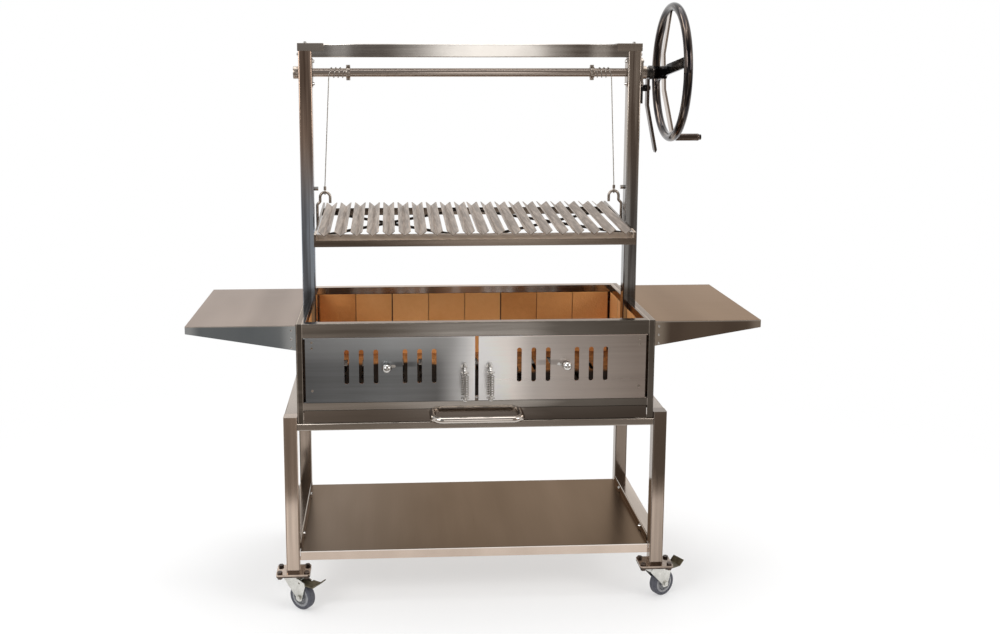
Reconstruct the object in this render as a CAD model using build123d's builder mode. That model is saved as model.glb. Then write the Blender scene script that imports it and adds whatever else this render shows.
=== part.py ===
from build123d import *
import os
from math import cos, pi, radians, sin, sqrt, tan

# Wheeled asado grill: a brick-lined firebox on a cart, with a V-bar grate that hangs
# from a hand-wound shaft between two uprights. Millimetres, +Z up, +X to the right of
# someone who stands at the doors, floor at z = 0, origin under the middle of the grill.

# Firebox
box_width = 990.0
box_depth = 532.0
rim_top = 820.0
box_base = 540.0
box_sheet = 2.0
rim_width = 26.0
rim_lip = 20.0
floor_level = 602.0
brick_width = 115.0
brick_thick = 25.0
brick_gap = 0.5
brick_corner = 6.25
brick_chamfer = 1.5
lip_gap = 1.0

# Front frame, doors and dampers
post_width = 17.0
header_height = 39.0
sill_top = 597.0
sill_height = 20.0
jamb_depth = 16.0
door_gap = 1.0
door_side_gap = 7.5
door_meeting_gap = 10.0
door_fold = 10.0
pivot_out = 2.0
pivot_back = 4.0
pivot_ear = 4.0
pivot_pin = 1.8
pivot_play = 0.05
slot_width = 13.0
slot_height = 97.0
slot_pitch = 40.0
slot_middle = 698.0
damper_sheet = 1.5
damper_travel = 20.0
damper_play = 0.1
damper_margin = 8.5
guide_height = 6.0
guide_sheet = 1.5
guide_lap = 4.0
knob_radius = 13.5
knob_stem = 4.0
knob_reach = 20.0
knob_play = 0.5

# Sprung pull handles
pull_x = 35.0
pull_z = 698.0
pull_reach = 35.2
pull_drop = 88.0
pull_rod = 3.0
pull_bend = 10.0
pull_boss = 9.0
pull_boss_depth = 6.0
pull_ball = 6.5
coil_collar = 11.4
coil_collar_thick = 2.0
coil_radius = 9.5
coil_wire = 1.3
coil_turns = 9

# Ash drawer
drawer_side = 45.0
drawer_short = 62.0
drawer_height = 28.0
drawer_sheet = 1.5
drawer_edge_gap = 1.0
drawer_lift = 5.0
runner_ledge = 33.0
runner_sheet = 2.0
flange_width = 24.0
flange_height = 20.0
handle_span = 244.0
handle_tube = 9.5
handle_out = 52.0
handle_bend = 28.0

# Side tables
table_reach = 300.0
table_inset = 10.0
table_drop = 5.6
table_edge = 21.0
table_root = 71.0
table_sheet = 2.0

# Cart
tube = 38.0
tube_wall = 2.0
tube_corner = 3.0
cart_overhang = 5.5
cart_gap = 1.0
leg_top = 558.0
foot_level = 107.0
foot_plate = 5.0
foot_width = 95.0
foot_depth = 67.0
foot_corner = 8.0
drain_hole = 10.0
rail_height = 20.0
shelf_level = 162.0
shelf_inset = 18.0
shelf_lip = 27.0
shelf_side = 16.0
shelf_sheet = 2.0
shelf_rail_rise = 18.0

# Casters
wheel_radius = 37.5
wheel_width = 24.0
caster_trail = 30.0
caster_plate = 4.0
bolt_offset_x = 37.5
bolt_offset_y = 22.5
kingpin = 6.0
crown_radius = 26.0
crown_height = 14.0
kingpin_nut = 10.0
kingpin_nut_height = 6.0
fork_gap = 1.5
fork_sheet = 3.0
axle = 4.0
axle_boss = 11.0
core_radius = 28.0
core_hub = 9.0
core_web = 4.0
core_rim = 22.0
hub_gap = 0.5
tyre_round = 5.0
running = 0.05
fork_lip = 20.0
pedal_pin = 2.5
pedal_sheet = 3.0
pedal_neck = 26.0
pedal_flat = 52.0
pedal_rise = 13.0
pedal_width = 40.0
front_left_turn = -35.0
front_right_turn = 30.0
rear_left_turn = -20.0
rear_right_turn = 200.0

# Gantry and lift
gantry_top = 1576.0
cap_sheet = 2.0
cap_reach = 72.0
cap_skirt = 20.0
shaft_drop = 81.0
shaft_radius = 12.5
shaft_hole = 15.5
bearing_height = 84.0
bearing_flange = 6.0
bearing_liner = 2.0
bearing_boss = 19.0
bearing_boss_depth = 14.0
collar_radius = 17.0
collar_bolt = 6.0
collar_bolt_rise = 5.0
collar_width = 12.0
collar_inset = 103.0
end_collar_radius = 18.0
end_collar_width = 15.0
end_play = 0.3
cable_radius = 1.5
cable_inset = 48.0
cable_turns = 3
cable_bend = 4.0
cable_lead = 3.0
cable_seat = 0.3
drum_radius = 20.0
drum_sleeve = 15.5
drum_stand = 8.0
drum_width = 10.0
drum_play = 0.4
hub_radius = 18.5
hub_width = 39.0
hub_space = 3.0
wheel_rim = 188.0
wheel_tube = 12.5
wheel_dish = 34.5
spoke_count = 4
spoke_turn = 10.0
spoke_width = 30.0
spoke_thick = 6.0
spoke_knee = 52.0
grip_radius = 10.5
grip_length = 72.0
grip_pin = 5.0
grip_head = 8.0
grip_shoulder = 4.0
lever_pivot_y = 30.0
lever_pivot_drop = 45.0
lever_thick = 8.0
lever_width = 24.0
lever_length = 190.0
lever_neck = 50.0
lever_lean = 27.0
lever_shoe_rise = 12.0
lever_pin = 4.0
bracket_plate = 6.0
bracket_height = 44.0
bracket_boss = 10.0

# Grate
grate_rise = 206.0
grate_inset = 46.0
grate_slope = 3.6
vbar_width = 34.0
vbar_depth = 14.0
vbar_wall = 2.6
vbar_inner_x = 19.5
vbar_edge = 21.5
vbar_count = 10
vbar_rise = 26.0
channel_depth = 27.0
channel_height = 18.0
channel_back = 12.0
channel_ahead = 12.0
grate_sheet = 2.0
grate_gap = 12.0
grate_side_thick = 6.0
grate_side_height = 34.0
cross_bar = 6.0
cross_bar_height = 22.0
cross_bar_inset = 20.0
seat_gap = 0.1
hanger_rod = 4.0
hanger_hook = 14.5
hook_inset = 31.0
hook_rise = 110.0
hanger_tip = 17.0
hanger_foot = 40.0
hanger_jog = 6.0
eye_radius = 6.0
ferrule_radius = 4.0
ferrule_length = 11.0

# Fasteners
bolt_shank = 4.0
bolt_hole = 4.25
hex_radius = 7.5
hex_height = 5.5
nut_height = 6.5
dome_radius = 6.0
dome_height = 5.0
stop_bolt = 6.5
stop_reach = 12.0
stop_rise = 135.5
bearing_bolt = 32.0
foot_bolt_rise = 38.0
foot_bolt_drop = 60.0
cap_bolt_drop = 29.0

# Places that follow from the sizes
handle_reach = handle_out + handle_tube
cart_depth = box_depth + 2 * cart_overhang
leg_x = box_width / 2 + cart_gap + tube / 2
leg_y = cart_depth / 2 - tube / 2
mid_y = (box_depth / 2 + handle_reach - leg_y - foot_depth / 2) / 2
front_y = mid_y - box_depth / 2
back_y = mid_y + box_depth / 2
wall_x = box_width / 2
inner_x = wall_x - box_sheet
opening_x = wall_x - post_width
opening_top = rim_top - header_height
upright_in = inner_x - tube
upright_x = inner_x - tube / 2
brick_span = 2 * (inner_x - brick_thick - brick_corner) + brick_gap
brick_count = round(brick_span / (brick_width + brick_gap))
brick_pitch = brick_span / brick_count
drawer_width = box_width - 2 * drawer_side
drawer_depth = box_depth - drawer_short
table_depth = box_depth - 2 * table_inset
shelf_depth = cart_depth - 2 * shelf_inset
shaft_z = gantry_top - shaft_drop
collar_x = upright_in - collar_inset
cable_x = upright_in - cable_inset
grate_bottom = rim_top + grate_rise
grate_half_depth = box_depth / 2 - grate_inset
grate_side_x = upright_in - grate_gap - grate_side_thick
vbar_pitch = (grate_side_x - vbar_inner_x - vbar_edge) / (vbar_count - 1)
hanger_hook_x = upright_in - hook_inset
hanger_hook_z = grate_bottom + hook_rise
stop_z = grate_bottom + stop_rise
crown_top = foot_level - foot_plate - caster_plate
leg_spots = [(sx * leg_x, mid_y + sy * leg_y) for sx in (-1, 1) for sy in (-1, 1)]


def front_plane(y):
    """Upright plane across the grill at y: local x is X, local y is Z, facing the user."""
    return Plane.XZ.offset(-y)


def side_plane(x):
    """Upright plane along the depth at x: local x is Y, local y is Z, facing right."""
    return Plane.YZ.offset(x)


def keep(piece, name):
    """Label a finished piece and write its STEP file."""
    piece.part.label = name
    export_step(piece.part, f"parts/{name}.step")


def biarc(start, start_dir, end, end_dir):
    """Two tangent arcs from start to end with the given end directions."""
    chord = end - start
    both = start_dir + end_dir
    bend = 2 * (1 - start_dir.dot(end_dir))
    reach = chord.dot(both)
    arm = (sqrt(reach * reach + bend * chord.dot(chord)) - reach) / bend
    joint = (start + end + (start_dir - end_dir) * arm) * 0.5
    first = TangentArc(start, joint, tangent=start_dir)
    TangentArc(joint, end, tangent=first % 1)


def coil_point(origin, along, across, radius, pitch, turns_on):
    """Point and direction on a helix about a line, turns_on turns from its start."""
    up = along.cross(across)
    angle = 2 * pi * turns_on
    radial = across * cos(angle) + up * sin(angle)
    tangent = up * cos(angle) - across * sin(angle)
    point = origin + along * (pitch * turns_on) + radial * radius
    heading = (tangent * (2 * pi * radius) + along * pitch).normalized()
    return point, heading, tangent


def least_turn_gap(points, spacing, wire):
    """Least distance between stretches of a wound wire more than half a turn apart."""
    gaps = [
        (points[i] - points[j]).length
        for i in range(len(points))
        for j in range(i + spacing, len(points))
    ]
    return min(gaps) - 2 * wire


os.makedirs("parts", exist_ok=True)

# Cart: four legs with welded foot plates
with BuildPart() as legs:
    with BuildSketch(Plane.XY.offset(foot_level)):
        with Locations(*leg_spots):
            RectangleRounded(tube, tube, tube_corner)
    extrude(amount=leg_top - foot_level)
    with BuildSketch(Plane.XY.offset(foot_level)):
        with Locations(*leg_spots):
            RectangleRounded(foot_width, foot_depth, foot_corner)
    extrude(amount=-foot_plate)
    with BuildSketch(Plane.XY.offset(foot_level)):
        with Locations(*leg_spots):
            Rectangle(tube - 2 * tube_wall, tube - 2 * tube_wall)
    extrude(amount=leg_top - foot_level - tube_wall, mode=Mode.SUBTRACT)
    with BuildSketch(Plane.XY.offset(foot_level)):
        with Locations(*leg_spots):
            Circle(drain_hole)
            with GridLocations(2 * bolt_offset_x, 2 * bolt_offset_y, 2, 2):
                Circle(bolt_hole)
    extrude(amount=-foot_plate, mode=Mode.SUBTRACT)
keep(legs, "legs")

# Square side rails between front and rear legs, at the top and beside the shelf
rail_length = 2 * leg_y - tube
rail_levels = (leg_top - tube, shelf_level + shelf_rail_rise - tube)
with BuildPart() as side_rails:
    with BuildSketch(front_plane(mid_y - rail_length / 2)):
        with Locations(*[(s * leg_x, z + tube / 2) for s in (-1, 1) for z in rail_levels]):
            RectangleRounded(tube, tube, tube_corner)
            Rectangle(tube - 2 * tube_wall, tube - 2 * tube_wall, mode=Mode.SUBTRACT)
    extrude(amount=-rail_length)
keep(side_rails, "side_rails")

# Flat cross rails that carry the firebox between the legs
with BuildPart() as cross_rails:
    with BuildSketch(side_plane(-leg_x + tube / 2)):
        with Locations(*[(mid_y + s * leg_y, box_base - rail_height / 2) for s in (-1, 1)]):
            RectangleRounded(tube, rail_height, tube_corner)
            Rectangle(tube - 2 * tube_wall, rail_height - 2 * tube_wall, mode=Mode.SUBTRACT)
    extrude(amount=2 * leg_x - tube)
keep(cross_rails, "cross_rails")

# Lower shelf: lips down at front and back, flanges up against the side rails
shelf_width = 2 * leg_x - tube
with BuildPart() as lower_shelf:
    with BuildSketch(Plane.XY.offset(shelf_level)):
        with Locations((0, mid_y)):
            Rectangle(shelf_width, shelf_depth)
    extrude(amount=-shelf_lip)
    with BuildSketch(Plane.XY.offset(shelf_level - shelf_sheet)):
        with Locations((0, mid_y)):
            Rectangle(shelf_width, shelf_depth - 2 * shelf_sheet)
    extrude(amount=-shelf_lip, mode=Mode.SUBTRACT)
    with BuildSketch(Plane.XY.offset(shelf_level)):
        with Locations(*[(s * (shelf_width - shelf_sheet) / 2, mid_y) for s in (-1, 1)]):
            Rectangle(shelf_sheet, rail_length)
    extrude(amount=shelf_side)
    with BuildSketch(Plane.XY.offset(shelf_level)):
        with Locations(*leg_spots):
            Rectangle(tube + 2 * cart_gap, tube + 2 * cart_gap)
    extrude(amount=shelf_side, both=True, mode=Mode.SUBTRACT)
keep(lower_shelf, "lower_shelf")

# Casters: bolted plates with kingpins
with BuildPart() as caster_plates:
    with BuildSketch(Plane.XY.offset(crown_top)):
        with Locations(*leg_spots):
            RectangleRounded(foot_width, foot_depth, foot_corner)
            with GridLocations(2 * bolt_offset_x, 2 * bolt_offset_y, 2, 2):
                Circle(bolt_hole, mode=Mode.SUBTRACT)
    extrude(amount=caster_plate)
    with BuildSketch(Plane.XY.offset(crown_top)):
        with Locations(*leg_spots):
            Circle(kingpin)
    extrude(amount=-crown_height)
    with BuildSketch(Plane.XY.offset(crown_top - crown_height)):
        with Locations(*leg_spots):
            RegularPolygon(kingpin_nut, 6)
    extrude(amount=-kingpin_nut_height)
keep(caster_plates, "caster_plates")

# Hex bolts through foot plates and caster plates
with BuildPart() as caster_bolts:
    with BuildSketch(Plane.XY.offset(foot_level)):
        with Locations(*leg_spots):
            with GridLocations(2 * bolt_offset_x, 2 * bolt_offset_y, 2, 2):
                RegularPolygon(hex_radius, 6)
    extrude(amount=hex_height)
    with BuildSketch(Plane.XY.offset(foot_level)):
        with Locations(*leg_spots):
            with GridLocations(2 * bolt_offset_x, 2 * bolt_offset_y, 2, 2):
                Circle(bolt_shank)
    extrude(amount=crown_top - foot_level - nut_height)
    with BuildSketch(Plane.XY.offset(crown_top)):
        with Locations(*leg_spots):
            with GridLocations(2 * bolt_offset_x, 2 * bolt_offset_y, 2, 2):
                RegularPolygon(hex_radius, 6)
    extrude(amount=-nut_height)
keep(caster_bolts, "caster_bolts")

# Swivelling forks, wheels, tyres and, at the front, brake pedals
fork_in = wheel_width / 2 + fork_gap
fork_out = fork_in + fork_sheet
pedal_z = 2 * wheel_radius + pedal_pin + pedal_sheet
pedal_trail = caster_trail + 1.0
casters = (
    ("front_left", -1, -1, front_left_turn),
    ("front_right", 1, -1, front_right_turn),
    ("rear_left", -1, 1, rear_left_turn),
    ("rear_right", 1, 1, rear_right_turn),
)
for corner, sx, sy, turn in casters:
    spot = Vector(sx * leg_x, mid_y + sy * leg_y, 0)
    trail_dir = Vector(cos(radians(turn)), sin(radians(turn)), 0)
    axle_dir = trail_dir.cross(Vector(0, 0, 1))
    braked = sy < 0
    side = Plane(origin=spot, x_dir=trail_dir, z_dir=axle_dir)
    axle_at = spot + trail_dir * caster_trail + Vector(0, 0, wheel_radius)
    across = Plane(origin=axle_at, x_dir=axle_dir, z_dir=axle_dir.cross(Vector(0, 0, 1)))
    axle_line = Axis(axle_at, axle_dir)

    with BuildPart() as fork:
        with BuildSketch(side.offset(fork_in), side.offset(-fork_out)):
            with BuildLine():
                Polyline(
                    (-crown_radius, crown_top - nut_height),
                    (caster_trail, crown_top - nut_height),
                    (caster_trail + fork_lip, crown_top - crown_height),
                    (caster_trail + fork_lip, pedal_z - axle_boss),
                    (caster_trail + axle_boss, wheel_radius),
                    (caster_trail - axle_boss, wheel_radius),
                    (-crown_radius, crown_top - crown_height),
                    close=True,
                )
            make_face()
            with Locations((caster_trail, wheel_radius)):
                Circle(axle_boss)
                Circle(axle + running, mode=Mode.SUBTRACT)
            if braked:
                with Locations((pedal_trail, pedal_z)):
                    Circle(pedal_pin + running, mode=Mode.SUBTRACT)
        extrude(amount=fork_sheet)
        with BuildSketch(Plane(origin=spot + Vector(0, 0, crown_top), z_dir=(0, 0, 1))):
            Circle(crown_radius)
        extrude(amount=-crown_height)
        with BuildSketch(Plane(origin=spot + Vector(0, 0, crown_top), z_dir=(0, 0, 1))):
            Circle(kingpin + running)
        extrude(amount=-crown_height, mode=Mode.SUBTRACT)
        with BuildSketch(side.offset(-fork_out)):
            with Locations((caster_trail, wheel_radius)):
                Circle(axle)
        extrude(amount=2 * fork_out)
        with BuildSketch(side.offset(fork_out), side.offset(-fork_out - hex_height)):
            with Locations((caster_trail, wheel_radius)):
                RegularPolygon(hex_radius, 6)
        extrude(amount=hex_height)
    keep(fork, f"caster_fork_{corner}")

    with BuildPart() as core:
        with BuildSketch(across):
            with Locations((0, (axle + running + core_hub) / 2)):
                Rectangle(2 * (fork_in - hub_gap), core_hub - axle - running)
            with Locations((0, (core_hub + core_rim) / 2)):
                Rectangle(2 * core_web, core_rim - core_hub)
            with Locations((0, (core_rim + core_radius) / 2)):
                Rectangle(wheel_width - 2, core_radius - core_rim)
        revolve(axis=axle_line)
    keep(core, f"wheel_core_{corner}")

    with BuildPart() as tyre:
        with BuildSketch(across):
            with Locations((0, (core_radius + running + wheel_radius) / 2)):
                Rectangle(wheel_width, wheel_radius - core_radius - running)
            fillet(vertices().group_by(Axis.Y)[-1], tyre_round)
        revolve(axis=axle_line)
    keep(tyre, f"tyre_{corner}")

    if braked:
        with BuildPart() as pedal:
            with BuildSketch(side.offset(-fork_in + hub_gap)):
                with Locations((pedal_trail + pedal_neck / 2 - pedal_sheet, pedal_z)):
                    Rectangle(pedal_neck + 2 * pedal_sheet, pedal_sheet)
            extrude(amount=2 * (fork_in - hub_gap))
            with BuildSketch(side.offset(-pedal_width / 2)):
                with BuildLine():
                    Polyline(
                        (pedal_trail + pedal_neck - pedal_sheet, pedal_z - pedal_sheet / 2),
                        (pedal_trail + pedal_flat, pedal_z - pedal_sheet / 2),
                        (pedal_trail + pedal_flat + pedal_rise + pedal_sheet, pedal_z + pedal_rise),
                        (pedal_trail + pedal_flat + pedal_rise, pedal_z + pedal_rise + pedal_sheet / 2),
                        (pedal_trail + pedal_flat - pedal_sheet / 2, pedal_z + pedal_sheet / 2),
                        (pedal_trail + pedal_neck - pedal_sheet, pedal_z + pedal_sheet / 2),
                        close=True,
                    )
                make_face()
            extrude(amount=pedal_width)
            with BuildSketch(side.offset(-fork_out)):
                with Locations((pedal_trail, pedal_z)):
                    Circle(pedal_pin)
            extrude(amount=2 * fork_out)
        keep(pedal, f"brake_pedal_{corner}")

# Firebox walls
wall_top = rim_top - box_sheet
with BuildPart() as firebox_sides:
    with BuildSketch(Plane.XY.offset(box_base)):
        with Locations(*[(s * (wall_x - box_sheet / 2), mid_y) for s in (-1, 1)]):
            Rectangle(box_sheet, box_depth - 2 * box_sheet)
    extrude(amount=wall_top - box_base)
keep(firebox_sides, "firebox_sides")

with BuildPart() as firebox_back:
    with BuildSketch(Plane.XY.offset(box_base)):
        with Locations((0, back_y - box_sheet / 2)):
            Rectangle(box_width, box_sheet)
    extrude(amount=wall_top - box_base)
keep(firebox_back, "firebox_back")

# Firebox floor with ash slots over the drawer
floor_front = front_y + box_sheet + jamb_depth + 2 * door_gap
floor_back = back_y - box_sheet
ash_slot_length = 150.0
ash_slot_width = 12.0
ash_slot_pitch = 58.0
with BuildPart() as firebox_floor:
    with BuildSketch(Plane.XY.offset(floor_level)):
        with Locations((0, (floor_front + floor_back) / 2)):
            Rectangle(2 * inner_x, floor_back - floor_front)
            with GridLocations(ash_slot_pitch, ash_slot_length * 1.2, 14, 2):
                SlotOverall(ash_slot_length, ash_slot_width, rotation=90, mode=Mode.SUBTRACT)
    extrude(amount=-box_sheet)
keep(firebox_floor, "firebox_floor")

# Rim: a folded frame round the mouth, notched where the uprights pass
with BuildPart() as top_rim:
    with BuildSketch(Plane.XY.offset(wall_top)):
        with Locations((0, mid_y)):
            Rectangle(box_width, box_depth)
            Rectangle(box_width - 2 * rim_width, box_depth - 2 * rim_width, mode=Mode.SUBTRACT)
    extrude(amount=box_sheet)
    with BuildSketch(Plane.XY.offset(wall_top)):
        with Locations((0, mid_y)):
            Rectangle(
                box_width - 2 * rim_width + 2 * box_sheet,
                box_depth - 2 * rim_width + 2 * box_sheet,
            )
            Rectangle(box_width - 2 * rim_width, box_depth - 2 * rim_width, mode=Mode.SUBTRACT)
    extrude(amount=-rim_lip)
    with BuildSketch(Plane.XY.offset(wall_top - rim_lip)):
        with Locations(*[(s * upright_x, mid_y) for s in (-1, 1)]):
            Rectangle(tube, tube + 2 * brick_gap)
    extrude(amount=rim_lip + box_sheet, mode=Mode.SUBTRACT)
keep(top_rim, "top_rim")

# Front frame: header, posts and sill with folded jambs round the doors
pivot_x = opening_x - door_side_gap + pivot_out
pivot_y = front_y + pivot_back
with BuildPart() as front_frame:
    with BuildSketch(front_plane(front_y)):
        with Locations((0, (box_base + wall_top) / 2)):
            Rectangle(box_width, wall_top - box_base)
        with Locations((0, (sill_top + opening_top) / 2)):
            Rectangle(2 * opening_x, opening_top - sill_top, mode=Mode.SUBTRACT)
        with Locations((0, (box_base + sill_top - sill_height) / 2)):
            Rectangle(2 * opening_x, sill_top - sill_height - box_base, mode=Mode.SUBTRACT)
    extrude(amount=-box_sheet)
    with BuildSketch(front_plane(front_y + box_sheet)):
        with Locations((0, (sill_top + opening_top) / 2)):
            Rectangle(2 * (opening_x + box_sheet), opening_top - sill_top + 2 * box_sheet)
            Rectangle(2 * opening_x, opening_top - sill_top, mode=Mode.SUBTRACT)
    extrude(amount=-jamb_depth)
    with BuildSketch(Plane.XY.offset(sill_top - box_sheet)):
        with Locations(*[(s * pivot_x, pivot_y) for s in (-1, 1)]):
            Circle(pivot_pin + pivot_play)
    extrude(amount=opening_top - sill_top + 2 * box_sheet, mode=Mode.SUBTRACT)
keep(front_frame, "front_frame")

# Pivot pins for the doors, each with a washer that carries or guides the door
with BuildPart() as hinge_pins:
    with BuildSketch(Plane.XY.offset(sill_top - box_sheet), Plane.XY.offset(opening_top - 3 * door_gap)):
        with Locations(*[(s * pivot_x, pivot_y) for s in (-1, 1)]):
            Circle(pivot_pin)
    extrude(amount=box_sheet + 3 * door_gap)
    with BuildSketch(Plane.XY.offset(sill_top), Plane.XY.offset(opening_top - door_gap)):
        with Locations(*[(s * pivot_x, pivot_y) for s in (-1, 1)]):
            Circle(pivot_ear - pivot_play)
    extrude(amount=door_gap)
keep(hinge_pins, "hinge_pins")

# Catch behind the meeting edges of the doors
catch_width = 40.0
catch_height = 10.0
catch_gap = 0.3
with BuildPart() as door_catch:
    with BuildSketch(Plane.XY.offset(sill_top)):
        with Locations((0, front_y + 2 * box_sheet + door_fold + catch_gap)):
            Rectangle(catch_width, 2 * box_sheet)
    extrude(amount=catch_height)
    fillet(door_catch.edges().filter_by(Axis.Y).sort_by(Axis.Z)[-2:], box_sheet)
keep(door_catch, "door_catch")

# Fire bricks that stand on the floor under the rim's lip
brick_height = wall_top - rim_lip - lip_gap - floor_level
back_brick_y = back_y - box_sheet - brick_thick / 2
with BuildPart() as back_bricks:
    with BuildSketch(Plane.XY.offset(floor_level)):
        with Locations((0, back_brick_y)):
            with GridLocations(brick_pitch, 1, brick_count, 1):
                Rectangle(brick_pitch - brick_gap, brick_thick)
        chamfer(vertices(), brick_chamfer)
    extrude(amount=brick_height)
keep(back_bricks, "back_bricks")

side_front = front_y + box_sheet + jamb_depth + 4 * door_gap
side_back = back_brick_y - brick_thick / 2 - brick_gap
near_half = (mid_y - tube / 2 - 2 * brick_gap - side_front - brick_gap) / 2
far_half = (side_back - mid_y - tube / 2 - 2 * brick_gap - brick_gap) / 2
near_mid = mid_y - tube / 2 - 2 * brick_gap - near_half - brick_gap / 2
far_mid = mid_y + tube / 2 + 2 * brick_gap + far_half + brick_gap / 2
with BuildPart() as side_bricks:
    for length, middle in ((near_half, near_mid), (far_half, far_mid)):
        with BuildSketch(Plane.XY.offset(floor_level)):
            with Locations(*[(s * (inner_x - brick_thick / 2), middle) for s in (-1, 1)]):
                with GridLocations(1, length + brick_gap, 1, 2):
                    Rectangle(brick_thick, length)
            chamfer(vertices(), brick_chamfer)
        extrude(amount=brick_height)
keep(side_bricks, "side_bricks")

# Doors with air slots, damper guides, dampers, knobs and sprung handles
door_low = sill_top + door_gap
door_high = opening_top - door_gap
door_out = opening_x - door_side_gap
door_in = door_meeting_gap / 2
slot_group_x = (door_out + door_in) / 2
slot_xs = [slot_pitch * k for k in (-3, -2, -1, 1, 2, 3)]
damper_half = 3 * slot_pitch + slot_width / 2 + damper_margin
damper_half_height = slot_height / 2 + damper_margin
guide_gap = damper_sheet + 4 * damper_play
knob_slot = damper_travel + 2 * (knob_stem + knob_play)
for hand, s in (("left", -1), ("right", 1)):
    group = s * slot_group_x
    with BuildPart() as door:
        with BuildSketch(front_plane(front_y)):
            with Locations((s * (door_out + door_in) / 2, (door_low + door_high) / 2)):
                Rectangle(door_out - door_in, door_high - door_low)
            with Locations(*[(group + x, slot_middle) for x in slot_xs]):
                SlotOverall(slot_height, slot_width, rotation=90, mode=Mode.SUBTRACT)
            with Locations((group, slot_middle)):
                SlotOverall(knob_slot, 2 * (knob_stem + knob_play), mode=Mode.SUBTRACT)
        extrude(amount=-box_sheet)
        with BuildSketch(front_plane(front_y + box_sheet)):
            with Locations((s * (door_out + door_in) / 2, (door_low + door_high) / 2)):
                Rectangle(door_out - door_in, door_high - door_low)
                Rectangle(
                    door_out - door_in - 2 * box_sheet,
                    door_high - door_low - 2 * box_sheet,
                    mode=Mode.SUBTRACT,
                )
        extrude(amount=-door_fold)
        with BuildSketch(front_plane(front_y + box_sheet)):
            with Locations(*[
                (group, slot_middle + v * (damper_half_height + damper_play + guide_height / 2))
                for v in (-1, 1)
            ]):
                Rectangle(2 * damper_half + 2 * damper_travel, guide_height)
        extrude(amount=-guide_gap)
        with BuildSketch(front_plane(front_y + box_sheet + guide_gap)):
            with Locations(*[
                (group, slot_middle + v * (damper_half_height + (guide_height - guide_lap) / 2))
                for v in (-1, 1)
            ]):
                Rectangle(2 * damper_half + 2 * damper_travel, guide_height + guide_lap)
        extrude(amount=-guide_sheet)
        with BuildSketch(Plane.XY.offset(door_low), Plane.XY.offset(door_high - box_sheet)):
            with Locations((s * pivot_x, pivot_y)):
                Circle(pivot_ear)
            with Locations((s * (door_out - pivot_ear / 2), pivot_y)):
                Rectangle(pivot_ear + 2 * pivot_out, 2 * pivot_ear)
        extrude(amount=box_sheet)
        with BuildSketch(Plane.XY.offset(door_low)):
            with Locations((s * pivot_x, pivot_y)):
                Circle(pivot_pin + pivot_play)
        extrude(amount=door_high - door_low, mode=Mode.SUBTRACT)
    keep(door, f"door_{hand}")

    knob_x = group + s * damper_travel / 2
    damper_y = front_y + box_sheet + damper_play
    with BuildPart() as damper:
        with BuildSketch(front_plane(damper_y)):
            with Locations((group, slot_middle)):
                Rectangle(2 * damper_half, 2 * damper_half_height)
            with Locations(*[(group + x, slot_middle) for x in slot_xs]):
                SlotOverall(slot_height, slot_width, rotation=90, mode=Mode.SUBTRACT)
        extrude(amount=-damper_sheet)
        with BuildSketch(Plane.XY.offset(slot_middle)):
            with BuildLine():
                knob_nose = front_y - knob_reach
                Polyline(
                    (knob_x, damper_y),
                    (knob_x + knob_stem, damper_y),
                    (knob_x + knob_stem, knob_nose + knob_radius - 1),
                    (knob_x + 0.6 * knob_radius, knob_nose + 0.8 * knob_radius),
                )
                ThreePointArc(
                    (knob_x + 0.6 * knob_radius, knob_nose + 0.8 * knob_radius),
                    (knob_x + knob_radius, knob_nose),
                    (knob_x, knob_nose - knob_radius),
                )
                Line((knob_x, knob_nose - knob_radius), (knob_x, damper_y))
            make_face()
        revolve(axis=Axis((knob_x, damper_y, slot_middle), (0, 1, 0)))
    keep(damper, f"damper_{hand}")

    rod_y = front_y - pull_reach
    coil_low = pull_z - pull_drop + pull_ball
    coil_high = pull_z - pull_bend - coil_collar_thick
    with BuildPart() as pull:
        with BuildSketch(front_plane(front_y)):
            with Locations((s * pull_x, pull_z)):
                Circle(pull_boss)
        extrude(amount=pull_boss_depth)
        with BuildLine():
            FilletPolyline(
                (s * pull_x, front_y - pull_boss_depth, pull_z),
                (s * pull_x, rod_y, pull_z),
                (s * pull_x, rod_y, pull_z - pull_drop),
                radius=pull_bend,
            )
        with BuildSketch(front_plane(front_y - pull_boss_depth)):
            with Locations((s * pull_x, pull_z)):
                Circle(pull_rod)
        sweep()
        with Locations((s * pull_x, rod_y, pull_z - pull_drop)):
            Sphere(pull_ball)
        with BuildSketch(Plane.XY.offset(coil_high), Plane.XY.offset(coil_low - coil_collar_thick)):
            with Locations((s * pull_x, rod_y)):
                Circle(coil_collar)
        extrude(amount=coil_collar_thick)
    keep(pull, f"pull_handle_{hand}")

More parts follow.
